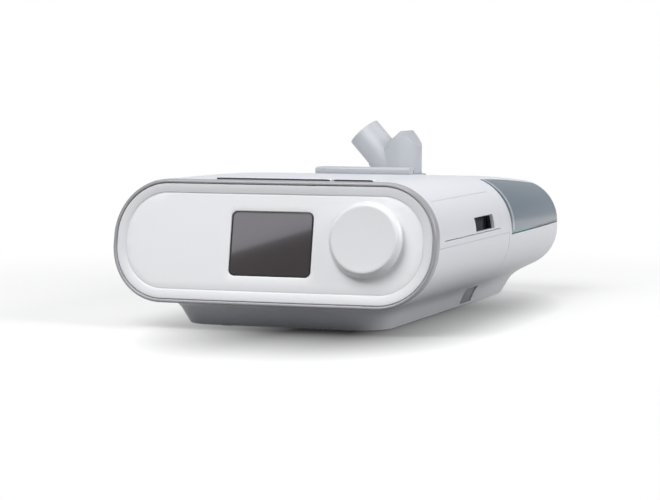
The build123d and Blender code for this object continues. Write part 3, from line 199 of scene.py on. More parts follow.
# The smoky window. Each layer is a colour and its bands: an axis, where the colour is full and where
# it has gone, in millimetres.
window = {
    "tint": (0.085, 0.145, 0.195),
    "rough": 0.24,
    "coat": 0.3,
    "coatRough": 0.3,
    "through": 0.3,
    "bends": 1.46,
    "layers": (
        ((0.17, 0.22, 0.28), (("Z", 50.0, 64.0),)),
        # painted highlight: a pale band along the window's front edge
        ((0.52, 0.62, 0.68), (("Y", 21.0, 22.5),)),
        # painted shade: a dark band at the window's very front edge
        ((0.008, 0.03, 0.035), (("Y", 17.6, 18.6),)),
        ((0.03, 0.05, 0.065), (("Z", 47.9, 48.4),)),
        ((0.03, 0.30, 0.32), (("Z", 48.0, 48.6), ("Y", 50.0, 90.0))),
    ),
}


def windowMaterial(name):
    m = plain(
        name,
        window["tint"],
        window["rough"],
        coat=window["coat"],
        Coat_Roughness=window["coatRough"],
        Transmission_Weight=window["through"],
        IOR=window["bends"],
    )
    tree = m.node_tree
    where = tree.nodes.new("ShaderNodeTexCoord")
    split = tree.nodes.new("ShaderNodeSeparateXYZ")
    tree.links.new(where.outputs["Object"], split.inputs[0])
    made = None
    for colour, bands in window["layers"]:
        share = None
        for axis, full, gone in bands:
            band = mapRange(tree, split.outputs[axis], full * mm, gone * mm, 1.0, 0.0, smooth=True)
            if share:
                both = tree.nodes.new("ShaderNodeMath")
                both.operation = "MULTIPLY"
                tree.links.new(share, both.inputs[0])
                tree.links.new(band, both.inputs[1])
                share = both.outputs[0]
            else:
                share = band
        mix = tree.nodes.new("ShaderNodeMix")
        mix.data_type = "RGBA"
        colours = [s for s in mix.inputs if s.type == "RGBA"]
        colours[0].default_value = (*window["tint"], 1)
        colours[1].default_value = (*colour, 1)
        if made:
            tree.links.new(made, colours[0])
        tree.links.new(share, mix.inputs["Factor"])
        made = [s for s in mix.outputs if s.type == "RGBA"][0]
    tree.links.new(made, tree.nodes["Principled BSDF"].inputs["Base Color"])


speckle(plain("whiteShell", (0.775, 0.79, 0.83), 0.36, coat=0.12, Coat_Roughness=0.25), 900, 0.1)
speckle(plain("panelWhite", (0.92, 0.925, 0.94), 0.34, coat=0.1, Coat_Roughness=0.2), 900, 0.04)
# The panel's white made darker for its sloping border: painted shade.
speckle(plain("panelBorderShade", (0.785, 0.79, 0.81), 0.34, coat=0.1, Coat_Roughness=0.2), 900, 0.04)
speckle(plain("dialWhite", (0.82, 0.825, 0.84), 0.36, coat=0.1, Coat_Roughness=0.2), 900, 0.04)
plain("greyTrim", (0.36, 0.36, 0.38), 0.3, coat=0.3)
speckle(plain("releaseGrey", (0.30, 0.31, 0.33), 0.45), 900, 0.1)
speckle(plain("paleGrey", (0.50, 0.52, 0.55), 0.4, coat=0.08), 900, 0.1)
windowMaterial("windowTint")
plain("clearTank", (0.80, 0.90, 0.95), 0.08, Transmission_Weight=0.9, IOR=1.45)
plain("screenBlack", (0.030, 0.021, 0.022), 0.06, coat=1.0, Coat_Roughness=0.03)
plain("screenBorder", (0.008, 0.008, 0.009), 0.35)
plain("displayDark", (0.02, 0.014, 0.013), 0.3)
plain("blackPlastic", (0.025, 0.026, 0.03), 0.5)
plain("darkGrey", (0.13, 0.135, 0.145), 0.5)
plain("circuitBoard", (0.02, 0.13, 0.06), 0.4, coat=0.4)
plain("chips", (0.035, 0.035, 0.04), 0.4)
plain("steel", (0.62, 0.62, 0.64), 0.28, 1.0)
plain("plateMetal", (0.72, 0.73, 0.75), 0.35, 1.0)
plain("element", (0.50, 0.22, 0.05), 0.5)
# Painted shade: a dark colour for the buttons' forward faces, standing for the shadowed gap at their front.
plain("buttonFrontShade", (0.035, 0.034, 0.04), 0.6)
plain("frameGrey", (0.085, 0.09, 0.105), 0.5)
plain("rubber", (0.06, 0.06, 0.062), 0.75)
plain("silicone", (0.60, 0.62, 0.64), 0.55)
speckle(plain("foam", (0.10, 0.105, 0.11), 0.95), 1500, 0.8, 0.0004)
speckle(plain("filterMedia", (0.075, 0.08, 0.095), 0.95), 1800, 0.7, 0.0003)

finishBySlot = {
    "white_shell": "whiteShell",
    "grey_trim": "greyTrim",
    "pale_grey": "paleGrey",
    "tinted_window": "windowTint",
    "clear_tank": "clearTank",
    "screen_glass": "screenBlack",
    "display": "displayDark",
    "black_plastic": "blackPlastic",
    "dark_grey": "darkGrey",
    "circuit_board": "circuitBoard",
    "chips": "chips",
    "steel": "steel",
    "plate_metal": "plateMetal",
    "element": "element",
    "rubber": "rubber",
    "silicone": "silicone",
    "foam": "foam",
    "filter_media": "filterMedia",
}


def paint(obj, name):
    obj.data.materials.clear()
    obj.data.materials.append(materialTable[name])


for name, obj in nodes.items():
    paint(obj, finishBySlot[slotOf[name]])
print("stage: materials")


def coords(items):
    return np.array([tuple(v.co) for v in items])


def markSharp(bm, angle):
    limit = math.radians(angle)
    for f in bm.faces:
        f.smooth = True
    for e in bm.edges:
        e.smooth = len(e.link_faces) == 2 and e.calc_face_angle(0) < limit


# Turns a mesh in millimetres into a piece that rides on its body in the CAD node's place.
def finish(bm, name, node, *materials):
    bmesh.ops.scale(bm, vec=(mm,) * 3, verts=bm.verts)
    mesh = bpy.data.meshes.new(name)
    bm.to_mesh(mesh)
    bm.free()
    obj = bpy.data.objects.new(name, mesh)
    scene.collection.objects.link(obj)
    for material in materials or [finishBySlot[slotOf[node]]]:
        mesh.materials.append(materialTable[material])
    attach(obj, bodyOf[node])
    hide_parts(node)
    return obj


# The CAD node as an editable mesh in millimetres, welded along its face borders.
def fromNode(node):
    bm = bmesh.new()
    bm.from_mesh(nodes[node].data)
    bmesh.ops.scale(bm, vec=(1 / mm,) * 3, verts=bm.verts)
    bmesh.ops.remove_doubles(bm, verts=bm.verts, dist=0.002)
    return bm


# Shells: the CAD solids with a fine outside that lies on the true curved form.
shell = {
    "edge": 3.2,
    "plinthEdge": 1.9,
    "plinthTop": 22,
    "passes": 5,
    "near": 0.16,
    "loose": 0.6,
    "settled": 0.001,
    "facing": 0.8,
    "outsideFacing": 0.7,
    "crease": 30,
    "inner": (1.6, 2.0, 2.1, 2.2, 2.25, 3.95),
    "innerNear": 0.12,
}
# A side door's top, front and rear seams are closed to a hair; the lower one stays open.
door = {"nodes": ("filter_door", "card_door"), "spread": 0.32, "near": 0.01}


def spreadDoor(bm):
    spread = door["spread"]
    lowY = min(v.co.y for v in bm.verts) + door["near"]
    highY = max(v.co.y for v in bm.verts) - door["near"]
    highZ = max(v.co.z for v in bm.verts) - door["near"]
    for v in bm.verts:
        if v.co.z > highZ:
            out = slope(bodyField, np.array([tuple(v.co)]))[0]
            v.co.x -= spread * out[2] / out[0]
            v.co.z += spread
        if v.co.y < lowY:
            v.co.y -= spread
        if v.co.y > highY:
            v.co.y += spread


def refined(node, raw, blend):
    bm = fromNode(node)
    if node in door["nodes"]:
        spreadDoor(bm)
    for _ in range(shell["passes"]):
        bm.verts.index_update()
        outer = np.abs(raw(coords(bm.verts))) < shell["near"]
        chosen = []
        for e in bm.edges:
            a, b = e.verts
            if not (outer[a.index] and outer[b.index]):
                continue
            low = blend and (a.co.z + b.co.z) / 2 < shell["plinthTop"]
            if e.calc_length() > (shell["plinthEdge"] if low else shell["edge"]):
                chosen.append(e)
        if not chosen:
            break
        mids = np.array([tuple((e.verts[0].co + e.verts[1].co) / 2) for e in chosen])
        close = np.abs(raw(mids)) < 2 * shell["loose"]
        chosen = [e for e, c in zip(chosen, close) if c]
        bmesh.ops.subdivide_edges(bm, edges=chosen, cuts=1, use_grid_fill=False)
        bmesh.ops.triangulate(bm, faces=[f for f in bm.faces if len(f.verts) > 3])
        bm.verts.index_update()
        co = coords(bm.verts)
        level = raw(co)
        grad = slope(raw, co)
        for v in bm.verts:
            i = v.index
            if not shell["settled"] < abs(level[i]) < shell["loose"]:
                continue
            facing = sum(1 for f in v.link_faces if f.normal.dot(Vector(grad[i])) > shell["facing"])
            if facing >= 2:
                v.co -= Vector(grad[i] * level[i])
    bm.normal_update()
    return bm


# A shell piece: the outside is fitted to the curved form and takes its normals from it.
def dressed(name, node, blend):
    field = wholeField if blend else bodyField
    raw = bothFields if blend else bodyField
    bm = refined(node, raw, blend)
    bm.verts.ensure_lookup_table()
    bm.verts.index_update()
    co = coords(bm.verts)
    near = np.abs(raw(co)) < shell["near"]
    grad = slope(raw, co)
    outerVerts = set()
    for f in bm.faces:
        ids = [v.index for v in f.verts]
        facing = max(f.normal.dot(Vector(grad[i])) for i in ids)
        f.tag = bool(near[ids].all()) and facing > shell["outsideFacing"]
        if f.tag:
            outerVerts.update(ids)
    ids = sorted(outerVerts)
    for _ in range(3):
        p = np.array([tuple(bm.verts[i].co) for i in ids])
        moved = p - slope(field, p) * field(p)[:, None]
        for k, i in enumerate(ids):
            bm.verts[i].co = moved[k]
    bm.normal_update()
    markSharp(bm, shell["crease"])
    tags = [f.tag for f in bm.faces]
    obj = finish(bm, name, node)
    mesh = obj.data
    p = np.array([tuple(v.co) for v in mesh.vertices]) / mm
    grad = slope(field, p)
    level = bodyField(p)
    inner = np.zeros(len(p), bool)
    for depth in shell["inner"]:
        inner |= np.abs(level + depth) < shell["innerNear"]
    normals = np.zeros((len(mesh.loops), 3))
    for poly in mesh.polygons:
        n = np.array(poly.normal)
        vs = np.array(poly.vertices)
        g = grad[vs]
        span = slice(poly.loop_start, poly.loop_start + poly.loop_total)
        if tags[poly.index]:
            normals[span] = g
        elif inner[vs].all() and (g @ n).max() < -shell["facing"]:
            normals[span] = -g
        else:
            normals[span] = n
    mesh.normals_split_custom_set(normals.tolist())
    print("piece", name, len(mesh.polygons))


shellPieces = [
    ("airLower", "lower_case", True),
    ("airUpper", "upper_case", False),
    ("humidBase", "humidifier_base", True),
    ("lidTop", "lid_top", False),
    ("lidWindow", "lid_window", False),
    ("filterDoor", "filter_door", False),
    ("cardDoor", "card_door", False),
]
for name, node, blend in shellPieces:
    dressed(name, node, blend)
print("stage: shells")


# Points round the front section: corner shares in x and z, and the outward direction.
def sectionLoop(perCorner, perTop, perSide):
    rows = []
    corners = [(1, 1, 0), (-1, 1, 90), (-1, -1, 180), (1, -1, 270)]
    for k, (cx, cz, start) in enumerate(corners):
        for i in range(perCorner + 1):
            a = math.radians(start + 90 * i / perCorner)
            rows.append((cx, cz, math.cos(a), math.sin(a)))
        nextX, nextZ, _ = corners[(k + 1) % 4]
        steps = perTop if nextZ == cz else perSide
        out = rows[-1][2:]
        for i in range(1, steps):
            t = i / steps
            rows.append((cx + (nextX - cx) * t, cz + (nextZ - cz) * t, *out))
    return np.array(rows)


# The loop's points at an inset from the outline and a depth behind the bowed face.
def loopPoints(loop, inset, depth):
    y = np.full(len(loop), body["frontY"])
    for _ in range(3):
        half, low, high, r = section(y)
        x = loop[:, 0] * (half - r) + (r - inset) * loop[:, 2]
        z = (low + high) / 2 + loop[:, 1] * ((high - low) / 2 - r) + (r - inset) * loop[:, 3]
        y = (depth + sag(x) + (z - body["faceFoot"]) * math.sin(tilt)) / math.cos(tilt)
        y = y + body["frontY"]
    return np.stack([x, y, z], axis=1)


# Rings of vertices joined by quads; closed joins the last ring to the first.
def bridge(bm, rings, closed=False):
    made = [[bm.verts.new(tuple(p)) for p in ring] for ring in rings]
    pairs = list(zip(made, made[1:] + made[:1])) if closed else list(zip(made, made[1:]))
    for a, b in pairs:
        for i in range(len(a)):
            j = (i + 1) % len(a)
            bm.faces.new((a[i], a[j], b[j], b[i]))
    return made


ring = {
    "corner": 26,
    "top": 40,
    "side": 8,
    "crease": 50,
    "profile": [
        (0.0, 5.85), (0.0, 1.3), (0.1, 0.75), (0.35, 0.32), (0.75, 0.06),
        (1.25, 0.0), (1.7, 0.08), (1.95, 0.3), (2.05, 0.7), (2.05, 5.85),
    ],
}
frontLoop = sectionLoop(ring["corner"], ring["top"], ring["side"])
bm = bmesh.new()
bridge(bm, [loopPoints(frontLoop, *p) for p in ring["profile"]], closed=True)
bmesh.ops.recalc_face_normals(bm, faces=bm.faces)
markSharp(bm, ring["crease"])
finish(bm, "frontRing", "front_ring")


def roundedLoop(cx, cy, halfX, halfY, radius, perCorner=10, perSide=6):
    points = []
    for sx, sy, start in ((1, 1, 0), (-1, 1, 90), (-1, -1, 180), (1, -1, 270)):
        for i in range(perCorner + 1):
            a = math.radians(start + 90 * i / perCorner)
            x = cx + sx * (halfX - radius) + radius * math.cos(a)
            y = cy + sy * (halfY - radius) + radius * math.sin(a)
            points.append((x, y))
    full = []
    for k, p in enumerate(points):
        q = points[(k + 1) % len(points)]
        steps = perSide if math.dist(p, q) > radius else 1
        full += [(p[0] + (q[0] - p[0]) * i / steps, p[1] + (q[1] - p[1]) * i / steps) for i in range(steps)]
    return full


def circleLoop(cx, cy, radius, count=96):
    return [
        (cx + radius * math.cos(2 * math.pi * i / count), cy + radius * math.sin(2 * math.pi * i / count))
        for i in range(count)
    ]


# The front panel: a tray with sloping borders, a fine crease, the screen's mouth and the dial's seat.
panel = {
    "border": [
        (2.3, 5.6), (2.3, 1.1), (2.36, 0.88), (2.55, 0.74), (2.9, 0.7),
        (5.2, 1.05), (7.0, 1.4), (7.3, 1.5), (7.55, 1.74), (7.8, 1.82), (8.05, 1.76), (8.3, 1.68),
    ],
    "fieldInset": 8.3,
    "fieldDepth": 1.68,
    "back": 5.6,
    "grid": 4.0,
    "screen": (0.4, 35.0, 24.5, 18.2, 3.4),
    "mouth": [(0.55, 0.0), (0.3, 0.06), (0.1, 0.25), (0.0, 0.55), (0.0, 3.4)],
    "seat": (56.6, 38.5, 19.5),
    "seatDepth": 1.2,
    "seatRound": 0.4,
    "hole": 3.35,
    "gridClear": 1.6,
    "behindClear": 0.25,
    "crease": 34,
}


def upOf(p):
    return (p[1] - body["frontY"]) * math.sin(tilt) + (p[2] - body["faceFoot"]) * math.cos(tilt)


bm = bmesh.new()
borderRings = bridge(bm, [loopPoints(frontLoop, *p) for p in panel["border"]])
# The sloping border takes the darker copy of the panel's white: painted shade.
for f in bm.faces:
    f.material_index = 1
cx, cy, halfX, halfY, radius = panel["screen"]
mouthRings = []
for grow, drop in panel["mouth"]:
    loop = roundedLoop(cx, cy, halfX + grow, halfY + grow, radius + grow)
    mouthRings.append([facePoint(x, u, panel["fieldDepth"] + drop + sag(x)) for x, u in loop])
mouthRings = bridge(bm, mouthRings)
seatX, seatUp, seatRadius = panel["seat"]
seatRound = panel["seatRound"]
seatLoop = circleLoop(seatX, seatUp, seatRadius)
holeLoop = circleLoop(seatX, seatUp, panel["hole"])
seatRings = bridge(
    bm,
    [
        [facePoint(x, u, panel["fieldDepth"] + sag(x)) for x, u in seatLoop],
        [facePoint(x, u, panel["seatDepth"] + seatRound) for x, u in seatLoop],
        [facePoint(x, u, panel["seatDepth"]) for x, u in circleLoop(seatX, seatUp, seatRadius - seatRound)],
        [facePoint(x, u, panel["seatDepth"]) for x, u in holeLoop],
        [facePoint(x, u, panel["back"]) for x, u in holeLoop],
    ],
)
# The field between them, from the three loops and a grid of inner points.
flat = []
edges = []
known = []
for verts in (borderRings[-1], mouthRings[0], seatRings[0]):
    start = len(flat)
    flat += [(v.co.x, upOf(v.co)) for v in verts]
    known += verts
    edges += [(start + i, start + (i + 1) % len(verts)) for i in range(len(verts))]
fieldLoop = np.array(flat[: len(borderRings[-1])])
midUp = (fieldLoop[:, 1].min() + fieldLoop[:, 1].max()) / 2
halfUp = (fieldLoop[:, 1].max() - fieldLoop[:, 1].min()) / 2
halfWide = fieldLoop[:, 0].max()
cornerR = body["stations"][0][4] - panel["fieldInset"]
mouthGrow = panel["mouth"][0][0]


def inField(x, u, margin):
    outer = roundedBox(np.array([x]), np.array([u - midUp]), halfWide, halfUp, cornerR)[0]
    mouthX = np.array([x - cx])
    mouthU = np.array([u - cy])
    hole = roundedBox(mouthX, mouthU, halfX + mouthGrow, halfY + mouthGrow, radius + mouthGrow)[0]
    disc = math.hypot(x - seatX, u - seatUp) - seatRadius
    return outer < -margin and hole > margin and disc > margin


x = -halfWide
while x < halfWide:
    u = midUp - halfUp
    while u < midUp + halfUp:
        if inField(x, u, panel["gridClear"]):
            flat.append((x, u))
        u += panel["grid"]
    x += panel["grid"]
points, _, faces, origins, _, _ = delaunay_2d_cdt([Vector(p) for p in flat], edges, [], 0, 1e-5)
verts = []
for p, source in zip(points, origins):
    if source and source[0] < len(known):
        verts.append(known[source[0]])
    else:
        verts.append(bm.verts.new(facePoint(p.x, p.y, panel["fieldDepth"] + sag(p.x))))
for f in faces:
    mid = sum((points[i] for i in f), Vector((0, 0))) / len(f)
    if inField(mid.x, mid.y, 0):
        bm.faces.new([verts[i] for i in f])
# What lies behind the face comes from the CAD node.
behind = fromNode("front_panel")
faceNormal = Vector((0, -math.cos(tilt), math.sin(tilt)))
foot = Vector((0, body["frontY"], body["faceFoot"]))
backEdge = panel["back"] - panel["behindClear"]
gone = [
    f
    for f in behind.faces
    if min((foot - v.co).dot(faceNormal) - sag(v.co.x) for v in f.verts) < backEdge
]
bmesh.ops.delete(behind, geom=gone, context="FACES")
spare = bpy.data.meshes.new("spare")
behind.to_mesh(spare)
behind.free()
bmesh.ops.recalc_face_normals(bm, faces=bm.faces)
if sum(f.normal.y * f.calc_area() for f in bm.faces) > 0:
    bmesh.ops.reverse_faces(bm, faces=bm.faces)
bm.from_mesh(spare)
bpy.data.meshes.remove(spare)
markSharp(bm, panel["crease"])
finish(bm, "frontPanel", "front_panel", "panelWhite", "panelBorderShade")

# The screen's glass: a dark border falls away round the flat middle.
lens = {
    "depth": 2.4,
    "rings": [(0.15, 1.6), (0.15, 0.4), (0.3, 0.2), (0.9, 0.03), (1.1, 0.0)],
    "crease": 20,
}
bm = bmesh.new()
lensRings = []
for inset, drop in lens["rings"]:
    loop = roundedLoop(cx, cy, halfX - inset, halfY - inset, radius - inset)
    lensRings.append([facePoint(x, u, lens["depth"] + drop) for x, u in loop])
lensRings = bridge(bm, lensRings)
for f in bm.faces:
    f.material_index = 1
glass = bm.faces.new(lensRings[-1])
bm.faces.new(list(reversed(lensRings[0])))
bmesh.ops.recalc_face_normals(bm, faces=bm.faces)
markSharp(bm, lens["crease"])
for e in glass.edges:
    e.smooth = False
finish(bm, "screenLens", "screen_lens", "screenBlack", "screenBorder")


# A profile of radius and depth turned about an axis through the face.
def turned(profile, centreX, centreUp, count=128):
    bm = bmesh.new()
    rings = [[facePoint(x, u, d) for x, u in circleLoop(centreX, centreUp, r, count)] for r, d in profile]
    rings = bridge(bm, rings)
    bm.faces.new(rings[-1])
    bm.faces.new(list(reversed(rings[0])))
    bmesh.ops.recalc_face_normals(bm, faces=bm.faces)
    return bm


dial = {
    "profile": [
        (3.05, -2.75), (3.05, -0.15), (21.1, -0.15), (21.34, -0.2), (21.38, -0.36), (21.2, -0.55),
        (20.8, -0.82), (20.4, -1.2), (20.05, -1.7), (19.78, -2.25), (19.56, -2.8), (19.4, -3.2),
        (19.22, -3.55), (18.92, -3.85), (18.5, -4.02), (18.0, -4.05), (17.0, -3.98),
        (14.0, -3.86), (8.0, -3.74), (1.5, -3.7),
    ],
    "crease": 40,
}
bm = turned(dial["profile"], seatX, seatUp)
markSharp(bm, dial["crease"])
finish(bm, "dialKnob", "dial", "dialWhite")
print("stage: front")


# A CAD node with softly rounded edges.
soft = {"segments": 2, "crease": 32, "flat": 1.2, "profile": 0.5, "buttonFront": -0.8}


def softened(name, node, radius, material):
    bm = fromNode(node)
    bmesh.ops.dissolve_limit(
        bm,
        angle_limit=math.radians(soft["flat"]),
        use_dissolve_boundaries=False,
        verts=bm.verts,
        edges=bm.edges,
    )
    limit = math.radians(soft["crease"])
    sharp = [e for e in bm.edges if len(e.link_faces) == 2 and e.calc_face_angle(0) > limit]
    bmesh.ops.bevel(
        bm,
        geom=sharp,
        offset=radius,
        offset_type="OFFSET",
        segments=soft["segments"],
        profile=soft["profile"],
        affect="EDGES",
        clamp_overlap=True,
    )
    markSharp(bm, soft["crease"])
    return finish(bm, name, node, *([material] if material else []))


# name, node, rounding in millimetres, material where it isn't the slot's own
softPieces = [
    ("startButton", "start_button", 0.35, None),
    ("rampButton", "ramp_button", 0.35, None),
    ("lidLatch", "lid_latch", 0.45, None),
    ("elbow", "outlet_elbow", 0.5, None),
    ("portCollar", "port_collar", 0.4, None),
    ("dockRelease", "dock_release", 0.35, "releaseGrey"),
    ("outletPort", "outlet_port", 0.3, None),
    ("powerJack", "power_jack", 0.3, None),
    ("dockSocket", "dock_socket", 0.3, None),
    ("dockPlug", "dock_plug", 0.3, None),
    ("airFeet", "air_feet", 0.3, None),
    ("humidifierFeet", "humidifier_feet", 0.3, None),
    ("trayDeck", "tray_deck", 0.4, None),
    ("waterTank", "water_tank", 0.5, None),
    ("tankCover", "tank_cover", 0.4, None),
    ("airDuct", "air_duct", 0.4, None),
    ("filterFrame", "filter_frame", 0.25, "frameGrey"),
]
for name, node, radius, material in softPieces:
    piece = softened(name, node, radius, material)
    # A button's forward-facing faces take the dark colour: painted shade along its front edge.
    if "Button" in name:
        piece.data.materials.append(materialTable["buttonFrontShade"])
        for face in piece.data.polygons:
            if face.normal.y < soft["buttonFront"]:
                face.material_index = 1
print("stage: soft pieces")

# The coarse filter: a pad with upright pleats, seen through the door's window.
pleats = {"pitch": 2.14, "radius": 0.66, "sides": 10, "inset": 0.5, "crease": 50}
filterLow, filterHigh = (Vector(c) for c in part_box("coarse_filter"))
padHigh = filterHigh - Vector((pleats["inset"] * mm, 0, 0))
tree = bpy.data.node_groups.new("filterPleats", "GeometryNodeTree")
tree.interface.new_socket("Geometry", in_out="OUTPUT", socket_type="NodeSocketGeometry")
treeInputs = {
    "Pad Size": ("NodeSocketVector", padHigh - filterLow),
    "Pad Middle": ("NodeSocketVector", (padHigh + filterLow) / 2),
    "Pleat Start": (
        "NodeSocketVector",
        Vector((padHigh.x, filterLow.y + pleats["pitch"] / 2 * mm, (filterLow.z + filterHigh.z) / 2)),
    ),
    "Pleat Step": ("NodeSocketVector", Vector((0, pleats["pitch"] * mm, 0))),
    "Pleat Count": ("NodeSocketInt", int((filterHigh.y - filterLow.y) / (pleats["pitch"] * mm))),
    "Pleat Radius": ("NodeSocketFloat", pleats["radius"] * mm),
    "Pleat Height": ("NodeSocketFloat", filterHigh.z - filterLow.z),
}
for label, (kind, _) in treeInputs.items():
    tree.interface.new_socket(label, in_out="INPUT", socket_type=kind)
start = tree.nodes.new("NodeGroupInput")
end = tree.nodes.new("NodeGroupOutput")
pad = tree.nodes.new("GeometryNodeMeshCube")
placed = tree.nodes.new("GeometryNodeTransform")
line = tree.nodes.new("GeometryNodeMeshLine")
pleat = tree.nodes.new("GeometryNodeMeshCylinder")
pleat.inputs["Vertices"].default_value = pleats["sides"]
copies = tree.nodes.new("GeometryNodeInstanceOnPoints")
both = tree.nodes.new("GeometryNodeJoinGeometry")
real = tree.nodes.new("GeometryNodeRealizeInstances")
colour = tree.nodes.new("GeometryNodeSetMaterial")
colour.inputs["Material"].default_value = materialTable["filterMedia"]
for source, label, target, socket in (
    (start, "Pad Size", pad, "Size"),
    (pad, "Mesh", placed, "Geometry"),
    (start, "Pad Middle", placed, "Translation"),
    (start, "Pleat Count", line, "Count"),
    (start, "Pleat Start", line, "Start Location"),
    (start, "Pleat Step", line, "Offset"),
    (start, "Pleat Radius", pleat, "Radius"),
    (start, "Pleat Height", pleat, "Depth"),
    (line, "Mesh", copies, "Points"),
    (pleat, "Mesh", copies, "Instance"),
    (placed, "Geometry", both, "Geometry"),
    (copies, "Instances", both, "Geometry"),
    (both, "Geometry", real, "Geometry"),
    (real, "Geometry", colour, "Geometry"),
    (colour, "Geometry", end, "Geometry"),
):
    tree.links.new(source.outputs[label], target.inputs[socket])
host = bpy.data.objects.new("pleatHost", bpy.data.meshes.new("pleatHost"))
scene.collection.objects.link(host)
nodesModifier = host.modifiers.new("pleats", "NODES")
nodesModifier.node_group = tree
for item in tree.interface.items_tree:
    if item.item_type == "SOCKET" and item.in_out == "INPUT":
        value = treeInputs[item.name][1]
        nodesModifier[item.identifier] = value[:] if isinstance(value, Vector) else value
pleated = bpy.data.meshes.new_from_object(host.evaluated_get(bpy.context.evaluated_depsgraph_get()))
bpy.data.objects.remove(host)
bm = bmesh.new()
bm.from_mesh(pleated)
bpy.data.meshes.remove(pleated)
bmesh.ops.scale(bm, vec=(1 / mm,) * 3, verts=bm.verts)
markSharp(bm, pleats["crease"])
finish(bm, "coarseFilter", "coarse_filter")
print("stage: filter")


def onStage(name, data):
    obj = bpy.data.objects.new(name, data)
    scene.collection.objects.link(obj)
    return obj


def lookAlong(obj, direction):
    obj.rotation_euler = Vector(direction).to_track_quat("-Z", "Y").to_euler()


def emptyMaterial(name):
    m = bpy.data.materials.new(name)
    m.use_nodes = True
    m.node_tree.nodes.clear()
    materialTable[name] = m
    return m.node_tree


def mixShaders(tree, share, a, b):
    node = tree.nodes.new("ShaderNodeMixShader")
    if isinstance(share, float):
        node.inputs["Fac"].default_value = share
    else:
        tree.links.new(share, node.inputs["Fac"])
    tree.links.new(a, node.inputs[1])
    tree.links.new(b, node.inputs[2])
    return node.outputs[0]


def vectorStep(tree, operation, source, amount=None, result="Vector"):
    node = tree.nodes.new("ShaderNodeVectorMath")
    node.operation = operation
    tree.links.new(source, node.inputs[0])
    if amount is not None:
        node.inputs[1].default_value = amount
    return node.outputs[result]


# The floor: white far away, with a painted shadow at the object's foot that fades within a hand's width.
# Half of it is the lamps' light with the real shadow, darkened by the painted one, and half is the painted
# shadow alone.
ground = {
    "size": 12,
    "drop": 0.0002,
    "albedo": 0.97,
    "bounce": 0.235,
    "fadeStart": 0.2,
    "fadeEnd": 0.5,
    "shadeMiddle": (0.026, -0.06, 0),
    "shadeHalf": (0.016, 0.065, 9),
    "shadeSquash": (1.75, 1.0, 0),
    "shadeReach": 0.145,
    "shadeLeast": 0.05,
    "shadeKept": 0.5,
}
bm = bmesh.new()
bmesh.ops.create_grid(bm, x_segments=1, y_segments=1, size=ground["size"])
floorMesh = bpy.data.meshes.new("floor")
bm.to_mesh(floorMesh)
bm.free()
floor = onStage("floor", floorMesh)
floor.location = (0, 0, -ground["drop"])
tree = emptyMaterial("floorWhite")
where = tree.nodes.new("ShaderNodeTexCoord").outputs["Object"]
far = vectorStep(tree, "LENGTH", where, result="Value")
fade = mapRange(tree, far, ground["fadeStart"], ground["fadeEnd"], smooth=True)
# The painted shadow: darkest at a box under the object's front half, right of its middle, and lighter
# further away.
step = vectorStep(tree, "SUBTRACT", where, ground["shadeMiddle"])
step = vectorStep(tree, "ABSOLUTE", step)
step = vectorStep(tree, "SUBTRACT", step, ground["shadeHalf"])
step = vectorStep(tree, "MAXIMUM", step, (0, 0, 0))
step = vectorStep(tree, "MULTIPLY", step, ground["shadeSquash"])
away = vectorStep(tree, "LENGTH", step, result="Value")
shade = mapRange(tree, away, 0.0, ground["shadeReach"], ground["shadeLeast"], ground["albedo"])
lit = tree.nodes.new("ShaderNodeBsdfDiffuse")
paintedShade = tree.nodes.new("ShaderNodeEmission")
for shader in (lit, paintedShade):
    tree.links.new(shade, shader.inputs["Color"])
dim = tree.nodes.new("ShaderNodeBsdfDiffuse")
dim.inputs["Color"].default_value = (*[ground["bounce"]] * 3, 1)
glow = tree.nodes.new("ShaderNodeEmission")
glow.inputs["Color"].default_value = (1, 1, 1, 1)
seen = mixShaders(tree, ground["shadeKept"], lit.outputs[0], paintedShade.outputs[0])
nearFar = mixShaders(tree, fade, seen, glow.outputs[0])
rays = tree.nodes.new("ShaderNodeLightPath")
byRay = mixShaders(tree, rays.outputs["Is Diffuse Ray"], nearFar, dim.outputs[0])
tree.links.new(byRay, tree.nodes.new("ShaderNodeOutputMaterial").inputs[0])
paint(floor, "floorWhite")

lights = {
    "top": {"at": (0.0, 0.6, 1.5), "aim": (0, 0, 0), "size": 1.2, "power": 3.4},
    "front": {"at": (-0.4, -1.1, 1.5), "aim": (0, 0, 0.05), "size": 1.3, "power": 28},
    "right": {"at": (1.6, -0.2, 0.9), "aim": (0, 0, 0.05), "size": 0.9, "power": 18.5},
}
for name, item in lights.items():
    data = bpy.data.lights.new(name + "Light", "AREA")
    data.shape = "SQUARE"
    data.size = item["size"]
    data.energy = item["power"]
    lamp = onStage(name + "Light", data)
    lamp.location = item["at"]
    lookAlong(lamp, Vector(item["aim"]) - Vector(item["at"]))

# The card whose lower edge slants across the screen's glass.
card = {
    "left": (-0.5936, -1.4694, 0.4413),
    "right": (-0.5024, -1.4793, 0.4761),
    "beyond": 4,
    "up": 0.5,
    "colour": (0.92, 0.92, 1, 1),
    "glow": 2.6,
}
leftEnd = Vector(card["left"])
rightEnd = Vector(card["right"])
along = (rightEnd - leftEnd) * card["beyond"]
rise = Vector((0, 0, card["up"]))
corners = [leftEnd - along, rightEnd + along, rightEnd + along + rise, leftEnd - along + rise]
cardMesh = bpy.data.meshes.new("reflectedCard")
cardMesh.from_pydata([tuple(c) for c in corners], [], [(0, 1, 2, 3)])
reflectedCard = onStage("reflectedCard", cardMesh)
tree = emptyMaterial("cardGlow")
glow = tree.nodes.new("ShaderNodeEmission")
glow.inputs["Color"].default_value = card["colour"]
glow.inputs["Strength"].default_value = card["glow"]
tree.links.new(glow.outputs[0], tree.nodes.new("ShaderNodeOutputMaterial").inputs[0])
paint(reflectedCard, "cardGlow")
reflectedCard.visible_camera = False
reflectedCard.visible_diffuse = False
reflectedCard.visible_shadow = False
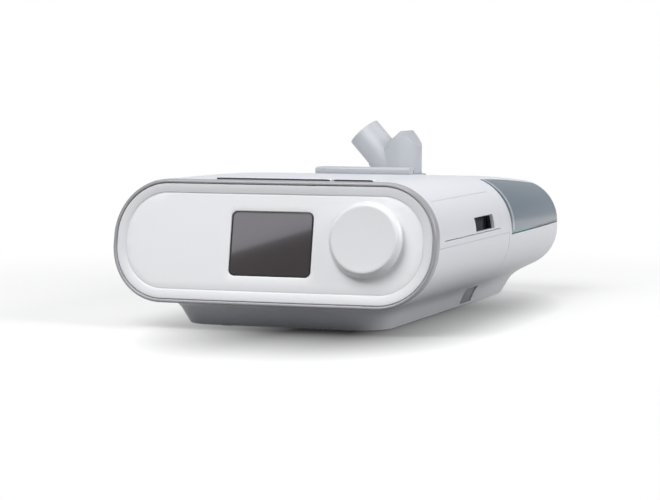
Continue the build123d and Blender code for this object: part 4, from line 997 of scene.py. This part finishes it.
reflectedCard.visible_transmission = False

# The world: a soft light, brighter where it is mirrored behind, and white to the camera.
sky = {
    "colour": (0.93, 0.95, 1.0, 1),
    "soft": 0.17,
    "mirrorFront": 0.45,
    "mirrorBehind": 0.58,
    "turnStart": -0.1,
    "turnEnd": 0.5,
}
world = bpy.data.worlds.new("studio")
scene.world = world
world.use_nodes = True
tree = world.node_tree
tree.nodes.clear()


def background(colour, strength):
    node = tree.nodes.new("ShaderNodeBackground")
    node.inputs["Color"].default_value = colour
    node.inputs["Strength"].default_value = strength
    return node


softLight = background(sky["colour"], sky["soft"]).outputs[0]
mirror = background(sky["colour"], sky["mirrorFront"])
white = background((1, 1, 1, 1), 1.0).outputs[0]
axes = tree.nodes.new("ShaderNodeSeparateXYZ")
tree.links.new(tree.nodes.new("ShaderNodeTexCoord").outputs["Generated"], axes.inputs[0])
turn = (sky["turnStart"], sky["turnEnd"], sky["mirrorFront"], sky["mirrorBehind"])
tree.links.new(mapRange(tree, axes.outputs["Y"], *turn), mirror.inputs["Strength"])
rays = tree.nodes.new("ShaderNodeLightPath").outputs
shown = mixShaders(tree, rays["Is Glossy Ray"], softLight, mirror.outputs[0])
shown = mixShaders(tree, rays["Is Camera Ray"], shown, white)
shown = mixShaders(tree, rays["Is Transmission Ray"], shown, white)
tree.links.new(shown, tree.nodes.new("ShaderNodeOutputWorld").inputs[0])

view = {
    "eye": (0.46814, -1.32818, 0.14604),
    "ahead": (-0.3411, 0.9368, -0.0783),
    "lens": 125.67,
    "sensor": 36.0,
    "nearest": 0.05,
    "farthest": 60,
}
cameraData = bpy.data.cameras.new("camera")
cameraData.lens = view["lens"]
cameraData.sensor_width = view["sensor"]
cameraData.clip_start = view["nearest"]
cameraData.clip_end = view["farthest"]
camera = bpy.data.objects.new("camera", cameraData)
scene.collection.objects.link(camera)
camera.location = view["eye"]
lookAlong(camera, view["ahead"])
scene.camera = camera
print("stage: studio")

bpy.context.view_layer.update()
